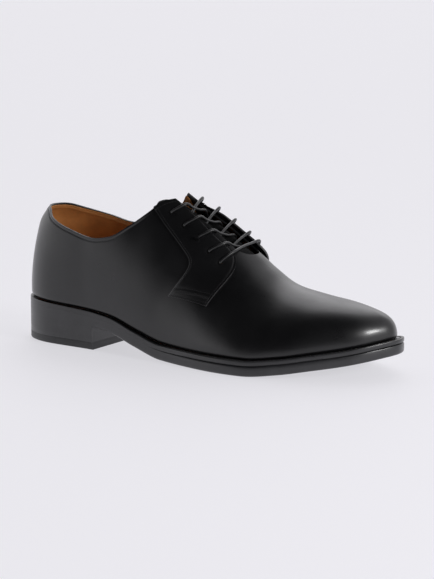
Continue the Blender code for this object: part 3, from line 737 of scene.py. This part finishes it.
def upper_grid(side, depth, low=0.0, drop=0.0, rows=UPPER_ROWS):
    """Half of the upper's face, sunk by a depth, from a low girth up to the edge less a drop.

    At the throat the drop is many times as large, to keep a lining out of the gap.
    """
    edge = top_girth(upper_stations, side)
    along = edge_x(upper_stations) / LENGTH
    throat = ease(THROAT_TOP - 0.035, THROAT_TOP - 0.015, along) * (1 - ease(0.66, 0.69, along))
    edge = edge - np.where(edge < 1, drop, 0) - 40 * drop * throat
    share = np.concatenate([np.linspace(0, 0.06, 9)[:-1], np.linspace(0.06, 0.93, rows)[:-1],
                            np.linspace(0.93, 1, rows // 3)])
    girth = low + share[None, :] * (edge[:, None] - low)
    station = np.repeat(upper_stations[:, None], girth.shape[1], axis=1)
    return over_last(station, girth, side, folded(station, girth, edge[:, None], side) - depth)


def polished_calf(name, low, high, roughness, coat, grain=1.0):
    """Smooth calf: tight pores and faint creases in bump, cloudy shine, a thin coat of polish."""
    made, shader, add, link, where = node_set(name, low, roughness)
    pores = add("ShaderNodeTexVoronoi", {"Vector": where, "Scale": 1500.0, "Randomness": 1.0},
                feature="DISTANCE_TO_EDGE").outputs["Distance"]
    fine = noise(add, where, 2600.0, 2.0)
    soft = noise(add, where, 150.0, 3.0)
    cloud = noise(add, where, 28.0, 3.0)
    link(tint(add, spread(add, cloud, 0, 1), low, high), "Base Color")
    link(spread(add, noise(add, where, 45.0, 4.0), roughness - 0.05, roughness + 0.06), "Roughness")
    surface = bump(add, pores, 0.00003 * grain, 0.35)
    surface = bump(add, fine, 0.00002 * grain, 0.45, surface)
    surface = bump(add, soft, 0.00012, 0.35, surface)
    link(bump(add, cloud, 0.0008, 0.25, surface), "Normal")
    shader.inputs["Coat Weight"].default_value = coat
    shader.inputs["Coat Roughness"].default_value = 0.16
    shader.inputs["Specular IOR Level"].default_value = 0.47
    return made


calf = polished_calf("black_calf", (0.0040, 0.0040, 0.0045), (0.0065, 0.0065, 0.0072), 0.32, 0.30)
SKIN = 0.0013
upper_mesh = plain_mesh("calf_upper", [upper_grid(-1, 0)[:, ::-1], upper_grid(1, 0)])


def thicken(piece, thickness, edge, segments=3, angle=50):
    """A wall under a face, its free edges rounded where they show."""
    wall = piece.modifiers.new("wall", "SOLIDIFY")
    wall.thickness = thickness
    wall.offset = -1
    if not edge:
        return
    rounding = piece.modifiers.new("rounding", "BEVEL")
    rounding.width = edge
    rounding.segments = segments
    rounding.limit_method = "ANGLE"
    rounding.angle_limit = math.radians(angle)


calf_upper = place("calf_upper", upper_mesh, calf, "upper_leather", "upper")
thicken(calf_upper, SKIN, 0.00045, angle=75)
solid_mesh(calf_upper)
FINE_PITCH, FINE_STITCH, FINE_THREAD, HALF_SUNK = 0.0017, 0.0014, 0.00035, 0.00008
COLLAR_END = 0.392
collar_sides = []
for side in (-1, 1):
    station = np.linspace(0, float(station_at(COLLAR_END)), 150)
    girth = top_girth(station, side) - edge_drop(station, side, COLLAR_ROW)
    collar_sides.append(over_last(station, girth, side, 0 * girth - HALF_SUNK))
stitch_rows("collar_stitches", [(np.concatenate([collar_sides[0][::-1], collar_sides[1][1:]]), None)],
            FINE_PITCH, FINE_STITCH, FINE_THREAD, "upper_leather")

# Back strip: a narrow strip of calf stitched over the seam that joins the quarters at the heel,
# widest at the collar, its end pointed.
STRIP_LENGTH, STRIP_WALL, STRIP_DROP, STRIP_ROW = 0.036, 0.0009, 0.0008, 0.0012
STRIP_HALF, STRIP_TAPER = 0.0042, 0.0012


def strip_grid(height, inward, rows=61, cols=21):
    """The strip over the back seam, its edges moved inward by a distance."""
    down, across = np.meshgrid(np.linspace(0, 1, rows), np.linspace(-1, 1, cols), indexing="ij")
    half = (STRIP_HALF - STRIP_TAPER * down) * np.sqrt(1 - np.maximum(0, (down - 0.9) / 0.1)**2) - inward
    away = np.abs(across) * np.maximum(half, 0.0002)
    drop = edge_drop(0.0, 1, STRIP_DROP + inward + down * (STRIP_LENGTH - 2 * inward))
    step = np.linspace(0, 0.05, 60)
    sides = []
    for side in (-1, 1):
        line = last(step, top_girth(step, side) - drop[:, :1], side)
        far = np.cumsum(np.linalg.norm(np.diff(line, axis=1), axis=-1), axis=1)
        far = np.concatenate([0 * far[:, :1], far], axis=1)
        station = np.array([np.interp(a, f, step) for a, f in zip(away, far)])
        girth = top_girth(station, side) - drop
        sides.append(over_last(station, girth, side, height * (1 - 0.25 * across**8)))
    return np.where(across[..., None] < 0, sides[0], sides[1])


strip_mesh = plain_mesh("back_strip", [strip_grid(STRIP_WALL, 0)])
back_strip = place("back_strip", strip_mesh, calf, "upper_leather")
thicken(back_strip, STRIP_WALL, 0.0003)
solid_mesh(back_strip)
strip_row = strip_grid(STRIP_WALL, STRIP_ROW, 61, 3)
stitch_rows("strip_stitches", [(strip_row[:, 0], None), (strip_row[:, 2], None)],
            FINE_PITCH, FINE_STITCH, FINE_THREAD, "upper_leather")

# Lining: tan calf glued and stitched inside the quarters and the vamp, its cut edge showing as a
# pale line along the collar. It closes the shell on the inside.
LINING, BEHIND = 0.0007, 0.00003
LINING_LOW, LINING_DROP, LINING_ROWS = 0.010, 0.004, 30
lining_calf, _, add, link, where = node_set("tan_lining_calf", (0.52, 0.22, 0.065), 0.55)
cloud, fibre = noise(add, where, 35.0, 4.0), noise(add, where, 900.0, 3.0)
link(tint(add, spread(add, cloud, 0, 1), (0.42, 0.165, 0.045), (0.64, 0.28, 0.085)), "Base Color")
link(bump(add, fibre, 0.00006, 0.5, bump(add, cloud, 0.0012, 0.3)), "Normal")
outer_lining, inner_lining = (
    upper_grid(side, SKIN + BEHIND, LINING_LOW, LINING_DROP, LINING_ROWS) for side in (-1, 1))
lining_mesh = plain_mesh("quarter_lining", [outer_lining[:, ::-1], inner_lining])
lining = place("quarter_lining", lining_mesh, lining_calf, "lining_leather")
thicken(lining, LINING, 0)
solid_mesh(lining)

# Insole: a leather insole over cork, covered with a tan sock, lying inside the welt's ring. Its
# # side takes the welt's dark wax as painted shade, which keeps the crease between upper and welt dark.
INSOLE = 0.0048
insole_line = wall_foot(FOOT_SEAM)
insole_rings = [
    (insole_line, lambda a: welt_top(a) - WELT),
    (insole_line, lambda a: welt_top(a) - WELT + INSOLE - 0.0008),
    (wall_foot(FOOT_SEAM + 0.0004), lambda a: welt_top(a) - WELT + INSOLE - 0.0002),
    (wall_foot(FOOT_SEAM + 0.0012), lambda a: welt_top(a) - WELT + INSOLE),
]
insole_mesh = plain_mesh("sock_insole", plate_rings(SOLE_STATIONS, insole_rings), outward=True)
place("sock_insole", insole_mesh, lining_calf, "lining_leather", "insole")
# Painted shade: the faces of the insole's side take the dark welt wax, so that no tan shows in the
# crease.
insole_mesh.materials.append(welt_wax)
for face in insole_mesh.polygons:
    face.material_index = int(face.normal.z < 0.5)

# Facings: a tab of calf on each quarter, stitched down over it, that carries the five holes. Its
# rear seam swings round in a curve to the bar of stitches at its foot; its front edge is cut raw.
FACING = 0.0014
FACING_REAR = (
    # down, along, girth
    (0.00, 0.395, 0.606),
    (0.18, 0.430, 0.588),
    (0.36, 0.463, 0.568),
    (0.54, 0.492, 0.538),
    (0.64, 0.507, 0.514),
    (0.70, 0.511, 0.490),
    (0.78, 0.508, 0.446),
    (0.90, 0.490, 0.358),
    (1.00, 0.471, 0.280),
)
FACING_FRONT = (
    # down, along, girth
    (0.00, 0.458, 0.835),
    (0.15, 0.490, 0.815),
    (0.30, 0.526, 0.790),
    (0.44, 0.561, 0.772),
    (0.56, 0.592, 0.765),
    (0.64, 0.606, 0.725),
    (0.72, 0.611, 0.655),
    (0.81, 0.608, 0.575),
    (0.90, 0.598, 0.470),
    (1.00, 0.578, 0.318),
)
HOLES = ((0.439, 0.713), (0.476, 0.687), (0.512, 0.660), (0.547, 0.637), (0.578, 0.620))
HOLE_RADIUS, PUCKER, PUCKER_REACH = 0.0014, 0.00055, 0.0026
PIN_UNDER, PIN_OVER, PIN_SIDES = 0.004, 0.005, 20
down_rows, *rear = columns(FACING_REAR)
rear = [smooth(down_rows, column) for column in rear]
down_rows, *front_edge = columns(FACING_FRONT)
front_edge = [smooth(down_rows, column) for column in front_edge]


def facing_at(side, down, across):
    """Place of a facing's point on the last: across runs from the rear seam to the front edge."""
    down, across = np.broadcast_arrays(np.asarray(down, float), np.asarray(across, float))
    start = [r(0.0) * (1 - across) + f(0.0) * across for r, f in zip(rear, front_edge)]
    lift = top_girth(station_at(start[0]), side) - start[1]
    along, girth = (r(down) * (1 - across) + f(down) * across for r, f in zip(rear, front_edge))
    station = station_at(along)
    return station, np.minimum(girth + lift * (1 - down)**3, top_girth(station, side))


# The facings' rims are a paler grey than the calf. This is partly the raw cut edge's own tone and partly
# painted highlight for the bright line that the edges catch, on the folded rear edge as well.
edge_tone_and_highlight, *_ = waxed_edge("cut_calf_edge_painted_highlight", (0.035, 0.034, 0.035), (0.060, 0.058, 0.060), 0.42)
hole_points = {side: [over_last(station_at(a), g, side, FACING) for a, g in HOLES] for side in (-1, 1)}


def pucker(points, side):
    """How far the leather is drawn in round the lace holes."""
    sunk = 0
    for hole in hole_points[side]:
        away = np.linalg.norm(points - hole, axis=-1)
        sunk = sunk + PUCKER * np.exp(-(away / PUCKER_REACH)**2)
    return sunk


REAR_ROW, FRONT_ROW, BAR_LOW, BAR_HIGH = 0.0017, 0.0017, 0.0012, 0.0056
REAR_BEAD, BEAD_WIDTH = 0.0003, 0.0008
LIFT = {-1: 0.0003, 1: 0.0032}


def lifted(side, down, across):
    """How far a facing's front edge stands off the vamp: the lace pulls only at its holes."""
    window = ease(0.0, 0.25, down) * (1 - ease(0.62, 0.92, down))
    return LIFT[side] * ease(0.35, 1.0, across) * window


def facing_spans(side, n=60):
    """Width of the facing at each height, and its height at each place across."""
    share = np.linspace(0, 1, n)
    down, across = np.meshgrid(share, share, indexing="ij")
    face = last(*facing_at(side, down, across), side)
    wide = np.linalg.norm(np.diff(face, axis=1), axis=-1).sum(1)
    tall = np.linalg.norm(np.diff(face, axis=0), axis=-1).sum(0)
    return (lambda d: np.interp(d, share, wide)), (lambda a: np.interp(a, share, tall))


spans = {side: facing_spans(side) for side in (-1, 1)}


def facing_face(side, down, across):
    """The facing's outer face: a rolled rear edge, channels for its stitches, a stitched bar."""
    wide, tall = spans[side]
    from_rear, from_front = across * wide(down), (1 - across) * wide(down)
    from_end, from_top = (1 - down) * tall(across), down * tall(across)
    shape = REAR_BEAD * np.exp(-((from_rear - BEAD_WIDTH) / BEAD_WIDTH)**2)
    for away, row, deep in ((from_rear, REAR_ROW, 0.00012), (from_front, FRONT_ROW, 0.00018),
                            (from_end, BAR_LOW, 0.00008), (from_end, BAR_HIGH, 0.00012),
                            (from_top, COLLAR_ROW, 0.00012)):
        shape = shape - channel(away - row, deep)
    station, girth = facing_at(side, down, across)
    face = over_last(station, girth, side, FACING + shape + lifted(side, down, across))
    return face - last_normal(station, girth, side) * pucker(face, side)[..., None]


def punch(side):
    """Pins through the five holes of a side, to cut them with."""
    turns = np.linspace(0, 2 * math.pi, PIN_SIDES + 1)
    pins = []
    for along, girth in HOLES:
        station = station_at(along)
        out = last_normal(station, girth, side)
        centre = last(station, girth, side)
        first = np.cross(out, [1.0, 0.0, 0.0])
        first = first / np.linalg.norm(first)
        second = np.cross(out, first)
        ring = HOLE_RADIUS * (np.cos(turns)[:, None] * first + np.sin(turns)[:, None] * second)
        low, high = centre - out * PIN_UNDER, centre + out * PIN_OVER
        pins.append(np.stack([low + 0 * ring, low + ring, high + ring, high + 0 * ring]))
    pin = bpy.data.objects.new("pin", plain_mesh("pin", pins, outward=True))
    bpy.context.scene.collection.objects.link(pin)
    return pin


def cut(piece, pin):
    """The piece with its lace holes."""
    hole = piece.modifiers.new("holes", "BOOLEAN")
    hole.operation, hole.solver, hole.object = "DIFFERENCE", "EXACT", pin
    solid_mesh(piece)


FACING_THREAD = 0.00038
BAR_GAP, BAR_PITCH, BAR_STITCH, BAR_THREAD = 0.0009, 0.0011, 0.0028, 0.0004
for side, name, node in ((-1, "outer_facing", "facing_outer"), (1, "inner_facing", "facing_inner")):
    down, across = np.meshgrid(np.linspace(0, 1, 180), np.linspace(0, 1, 110), indexing="ij")
    face = facing_face(side, down, across)
    mesh = plain_mesh(name, [face if side > 0 else face[:, ::-1]])
    facing = place(name, mesh, calf, "facing_leather", node)
    mesh.materials.append(edge_tone_and_highlight)
    thicken(facing, FACING - 0.0001, 0.0004)
    # The rim, front and rear edges alike, takes the paler edge finish: partly the raw edge's tone, partly
    # painted highlight.
    facing.modifiers["wall"].material_offset_rim = 1
    solid_mesh(facing)
    pin = punch(side)
    for pierced in (facing, calf_upper, lining):
        cut(pierced, pin)
    bpy.data.objects.remove(pin)
    wide, tall = spans[side]
    share = np.linspace(0.03, 1, 120)
    foot = 1 - BAR_HIGH / tall(0.5)
    ways = [
        (facing_face(side, share * foot, REAR_ROW / wide(share * foot)), None),
        (facing_face(side, share * 0.985, 1 - FRONT_ROW / wide(share * 0.985)), None),
        (facing_face(side, COLLAR_ROW / tall(share), share * 0.97), None),
    ]
    share = np.linspace(0.05, 0.95, 60)
    ways += [(facing_face(side, 1 - row / tall(share), share), None) for row in (BAR_LOW, BAR_HIGH)]
    stitch_rows(name + "_stitches", ways, FINE_PITCH, FINE_STITCH, FACING_THREAD, "facing_leather")
    low = facing_face(side, 1 - (BAR_LOW + BAR_GAP) / tall(share), share)
    high = facing_face(side, 1 - (BAR_HIGH - BAR_GAP) / tall(share), share)
    stitch_rows(name + "_bar", [((low + high) / 2, high - low)],
                BAR_PITCH, BAR_STITCH, BAR_THREAD, "facing_leather")

# Tongue: a soft flap of calf from under the vamp, lined in tan, its top drooping back into the
# opening because nothing holds it there.
TONGUE_WALL, TONGUE_DROOP, TONGUE_INSET, TONGUE_HOLLOW = 0.0014, 0.0180, 0.0034, 0.0060
TONGUE_LINING, LINING_REACH = 0.0006, 0.95
TONGUE = (
    # along, girth, droop
    (0.376, 0.720, 1.00),
    (0.388, 0.620, 0.84),
    (0.405, 0.580, 0.67),
    (0.435, 0.580, 0.47),
    (0.470, 0.590, 0.24),
    (0.500, 0.600, 0.08),
    (0.530, 0.620, 0.00),
    (0.620, 0.720, 0.00),
    (0.665, 0.860, 0.00),
)
rows, girth, droop = columns(TONGUE)
tongue_edge, tongue_droop = steady(rows, girth), steady(rows, droop * TONGUE_DROOP)


def tongue_grid(depth, reach=1.0, n=90, m=70):
    """The tongue's face, hollow between the facings, sunk by a depth and out to a reach."""
    along, share = np.meshgrid(np.linspace(rows[0], rows[-1], n), np.linspace(reach, -reach, m),
                               indexing="ij")
    station, aside = station_at(along), np.abs(share)
    girth = 1 - aside * (1 - tongue_edge(along))
    hollow = (1 - ease(0.05, 0.60, aside)) * (1 - ease(0.565, 0.615, along)) * ease(0.43, 0.49, along)
    inward = TONGUE_INSET + 0.0012 * ease(0.25, 0.75, aside) + TONGUE_HOLLOW * hollow + depth
    sides = [over_last(station, girth, side, -inward) for side in (-1, 1)]
    face = np.where(share[..., None] < 0, sides[0], sides[1])
    return face - tongue_droop(along)[..., None] * np.array([0, 0, 1])


# Painted shade: the tongue's calf has a darker base colour and a weaker shine than the upper's calf,
# standing in for the shadow in the gap between the facings.
tongue_shade_calf = polished_calf("tongue_calf_painted_shade", (0.0015, 0.0015, 0.0017), (0.0025, 0.0025, 0.0028),
                          0.72, 0.0, 2.0)
tongue_shade_calf.node_tree.nodes["Principled BSDF"].inputs["Specular IOR Level"].default_value = 0.12
tongue_mesh = plain_mesh("calf_tongue", [tongue_grid(0)])
tongue = place("calf_tongue", tongue_mesh, tongue_shade_calf, "tongue_leather", "tongue")
thicken(tongue, TONGUE_WALL, 0.0005)
solid_mesh(tongue)
under_mesh = plain_mesh("tongue_lining", [tongue_grid(TONGUE_WALL + BEHIND, LINING_REACH, 45, 35)])
tongue_lining = place("tongue_lining", under_mesh, lining_calf, "lining_leather")
thicken(tongue_lining, TONGUE_LINING, 0.0002, 1)
solid_mesh(tongue_lining)

# Lace: one round waxed cotton cord, 2 mm thick. A bar lies over the lowest holes; from there each
# end comes up from under a facing, crosses the gap and goes down into the next hole across.
CORD = 0.0010
CORD_SIDES = 18
waxed_cotton, cord_shader, add, link, where = node_set("waxed_cotton", (0.006, 0.006, 0.0065), 0.40)
link(bump(add, noise(add, where, 3000.0, 2.0), 0.00003, 0.6), "Normal")
cord_shader.inputs["Coat Weight"].default_value = 0.35
cord_shader.inputs["Coat Roughness"].default_value = 0.3


def spot(along, girth, side, height):
    """A point at a height over the last."""
    return over_last(station_at(along), np.asarray(girth, float), side, height)


dense = np.linspace(0, 0.66, 200)  # down to where the front edge turns back


def front_girth(along):
    """Girth of a facing's front edge at a place along the shoe."""
    return float(np.interp(along, front_edge[0](dense), front_edge[1](dense)))


ON_FACING = FACING + CORD
UNDER = -(WALL + CORD) - 0.0001
holes = {side: [(along, girth, side) for along, girth in HOLES] for side in (-1, 1)}
down_hole = [ON_FACING * 0.62, 0.0, -WALL * 0.8, UNDER]
AHEAD = {-1: 0.025, 1: 0.019}
BAR_AHEAD = {-1: 0.016, 1: 0.012}
SPRING, BAR_SPRING = 0.0012, 0.0010


def edge_lift(along, side):
    """How high the facing's front edge stands off."""
    return float(lifted(side, (along - 0.458) / 0.24, 1.0))


def over_facing(hole, ahead, arch):
    """From the facing's front edge, crossed ahead of the hole, back over the facing to the hole."""
    along, girth, side = hole
    edge, raised = front_girth(along + ahead), edge_lift(along + ahead, side)
    middle = ON_FACING + 0.0003 + 1.2 * arch + 0.4 * raised
    return [spot(along + ahead, edge, side, ON_FACING + 0.0002 + arch + raised),
            spot(along + 0.55 * ahead, 0.5 * (edge + girth), side, middle),
            spot(along + 0.08 * ahead, girth + 0.10 * (edge - girth), side, ON_FACING * 0.9)]


def taut(first, final, lift):
    """The stretch that hangs free between the facings."""
    return [first + (final - first) * s + np.array([0, 0, lift * math.sin(math.pi * s)])
            for s in (0.25, 0.5, 0.75)]


def crossing(start, finish, lift):
    """Up from under the start's facing, over the gap, and over the other facing to its hole."""
    along, girth, side = start
    edge = front_girth(along + 0.003)
    out = spot(along + 0.003, edge, side, UNDER)
    over = over_facing(finish, AHEAD[finish[2]], 0.0008)
    return [spot(along, girth + 0.12 * (edge - girth), side, UNDER),
            spot(along + 0.001, 0.5 * (edge + girth), side, UNDER), out, *taut(out, over[0], lift), *over]


def half_lace(side):
    """One end's way, from the bar's hole up to the top hole that it stops in."""
    points = [spot(*holes[side][-1], h) for h in down_hole]
    at = side
    for row in range(len(HOLES) - 1, 0, -1):
        start, finish = holes[at][row], holes[-at][row - 1]
        points += crossing(start, finish, -at * SPRING)
        points += [spot(*finish, h) for h in down_hole]
        at = -at
    return points


near = over_facing(holes[-1][-1], BAR_AHEAD[-1], 0.0006)
away = over_facing(holes[1][-1], BAR_AHEAD[1], 0.0004)
bar = near[::-1] + taut(near[0], away[0], BAR_SPRING) + away
lace_points = np.array(half_lace(-1)[::-1] + bar + half_lace(1))


def smooth_way(points, step):
    """A smooth way through points, its own points a step apart."""
    gap = np.linalg.norm(np.diff(points, axis=0), axis=1)
    rows = np.concatenate([[0], np.cumsum(gap**0.5)])
    curves = [smooth(rows, points[:, k]) for k in range(3)]
    dense = np.stack([curve(np.linspace(0, rows[-1], 6000)) for curve in curves], -1)
    far = np.concatenate([[0], np.cumsum(np.linalg.norm(np.diff(dense, axis=0), axis=1))])
    at = np.linspace(0, far[-1], int(far[-1] / step) + 1)
    return np.stack([np.interp(at, far, dense[:, k]) for k in range(3)], -1)


WAY_STEP, BRAID_PITCH, BRAID_DEPTH = 0.0004, 0.0040, 0.035
lace_way = smooth_way(lace_points, WAY_STEP)


def braided_tube(way, radius, sides, pitch):
    """A cord along a way, its strands standing out in a fine crossed pattern."""
    run = np.gradient(way, axis=0)
    run = run / np.linalg.norm(run, axis=1, keepdims=True)
    across = np.zeros_like(way)
    previous = np.array([0.0, 0.0, 1.0])
    for i, direction in enumerate(run):
        previous = previous - direction * np.dot(previous, direction)
        previous = previous / np.linalg.norm(previous)
        across[i] = previous
    beside = np.cross(run, across)
    turns = np.linspace(0, 2 * math.pi, sides + 1)
    far = np.concatenate([[0], np.cumsum(np.linalg.norm(np.diff(way, axis=0), axis=1))])
    left = np.cos(5 * turns[None, :] + 2 * math.pi * far[:, None] / pitch)
    right = np.cos(5 * turns[None, :] - 2 * math.pi * far[:, None] / pitch)
    swell = radius * (1 + BRAID_DEPTH * np.maximum(left, right))
    return (way[:, None, :] + swell[..., None] * (np.cos(turns)[None, :, None] * across[:, None, :]
            + np.sin(turns)[None, :, None] * beside[:, None, :]))


tube = braided_tube(lace_way, CORD, CORD_SIDES, BRAID_PITCH)
caps = [np.stack([tube[i], np.repeat(lace_way[i][None], len(tube[i]), axis=0)]) for i in (0, -1)]
place("round_lace", plain_mesh("round_lace", [tube, *caps], outward=True), waxed_cotton, "lace_cord",
      "lace_bar", "lace_cross_1", "lace_cross_2", "lace_cross_3", "lace_cross_4")

# Studio: a plain pale floor that runs on to the horizon under a soft sky, brighter and darker in
# places, and one soft light that makes the highlight on the toe.
floor_mesh = bpy.data.meshes.new("floor")
floor_mesh.from_pydata([(-30, -30, 0), (30, -30, 0), (30, 30, 0), (-30, 30, 0)], [], [(0, 1, 2, 3)])
floor = bpy.data.objects.new("floor", floor_mesh)
bpy.context.scene.collection.objects.link(floor)
paper, paper_shader, *_ = node_set("floor_paper", (0.27, 0.267, 0.281), 0.7)
paper_shader.inputs["Emission Color"].default_value = (1.0, 0.99, 1.04, 1)
paper_shader.inputs["Emission Strength"].default_value = 0.60
floor_mesh.materials.append(paper)

world = bpy.data.worlds.new("studio")
world.use_nodes = True
sky = world.node_tree


def glow(aim, inner, outer, add_to, amount):
    """Adds light, or takes some, round one direction of the sky, fading between two angles."""
    toward = sky.nodes.new("ShaderNodeVectorMath")
    toward.operation = "DOT_PRODUCT"
    toward.inputs[1].default_value = Vector(aim).normalized()
    sky.links.new(direction.outputs["Generated"], toward.inputs[0])
    fade = sky.nodes.new("ShaderNodeMapRange")
    fade.interpolation_type = "SMOOTHSTEP"
    fade.inputs["From Min"].default_value = math.cos(math.radians(outer))
    fade.inputs["From Max"].default_value = math.cos(math.radians(inner))
    fade.inputs["To Min"].default_value, fade.inputs["To Max"].default_value = 0.0, amount
    sky.links.new(toward.outputs["Value"], fade.inputs["Value"])
    total = sky.nodes.new("ShaderNodeMath")
    total.operation = "ADD"
    sky.links.new(fade.outputs["Result"], total.inputs[0])
    if add_to is None:
        total.inputs[1].default_value = SKY
    else:
        sky.links.new(add_to, total.inputs[1])
    return total.outputs[0]


SKY, SKY_DARKEST = 0.77, 0.02
direction = sky.nodes.new("ShaderNodeTexCoord")
light = glow((-0.10, -0.55, 0.83), 35, 66, None, -0.83)
light = glow((0.60, -0.75, 0.25), 12, 42, light, -0.6)
light = glow((-0.30, 0.70, 0.65), 8, 29, light, 0.95)
light = glow((-0.95, -0.30, 0.0), 10, 50, light, 0.4)
never_less = sky.nodes.new("ShaderNodeMath")
never_less.operation = "MAXIMUM"
never_less.inputs[1].default_value = SKY_DARKEST
sky.links.new(light, never_less.inputs[0])
sky.links.new(never_less.outputs[0], sky.nodes["Background"].inputs["Strength"])
sky.nodes["Background"].inputs["Color"].default_value = (1.0, 0.99, 1.02, 1)
bpy.context.scene.world = world
bpy.context.scene.view_settings.view_transform = "Standard"

TOE_LIGHT, TOE = Vector((1.59, -0.24, 0.67)), Vector((0.138, 0, 0.03))
lamp = bpy.data.lights.new("toe_light", "AREA")
lamp.shape, lamp.size, lamp.energy = "SQUARE", 0.28, 11
toe_light = bpy.data.objects.new("toe_light", lamp)
bpy.context.scene.collection.objects.link(toe_light)
toe_light.location = TOE_LIGHT
toe_light.rotation_euler = (TOE - TOE_LIGHT).to_track_quat("-Z", "Y").to_euler()

# Camera: the photograph's eye point, turned from there to the one shoe and closed in on it.
EYE = np.array([1.0686, -1.4104, 0.3547]) + PLACE
TURN, DIP = math.radians(31.6077), math.radians(5.6699)
FOCAL, WIDE, TALL = 1966.5, 434, 579
CENTRE, CLOSER = (179.5, 450.0), 1.2
camera = bpy.data.objects.new("camera", bpy.data.cameras.new("camera"))
bpy.context.scene.collection.objects.link(camera)
camera.location = EYE
ahead = Vector((-math.sin(TURN) * math.cos(DIP), math.cos(TURN) * math.cos(DIP), -math.sin(DIP)))
right = Vector((math.cos(TURN), math.sin(TURN), 0))
upward = right.cross(ahead)
look = ahead * FOCAL + right * (CENTRE[0] - WIDE / 2) - upward * (CENTRE[1] - TALL / 2)
camera.rotation_euler = look.to_track_quat("-Z", "Y").to_euler()
camera.data.lens = 36 * FOCAL * CLOSER / TALL
camera.data.clip_end = 20
bpy.context.scene.camera = camera
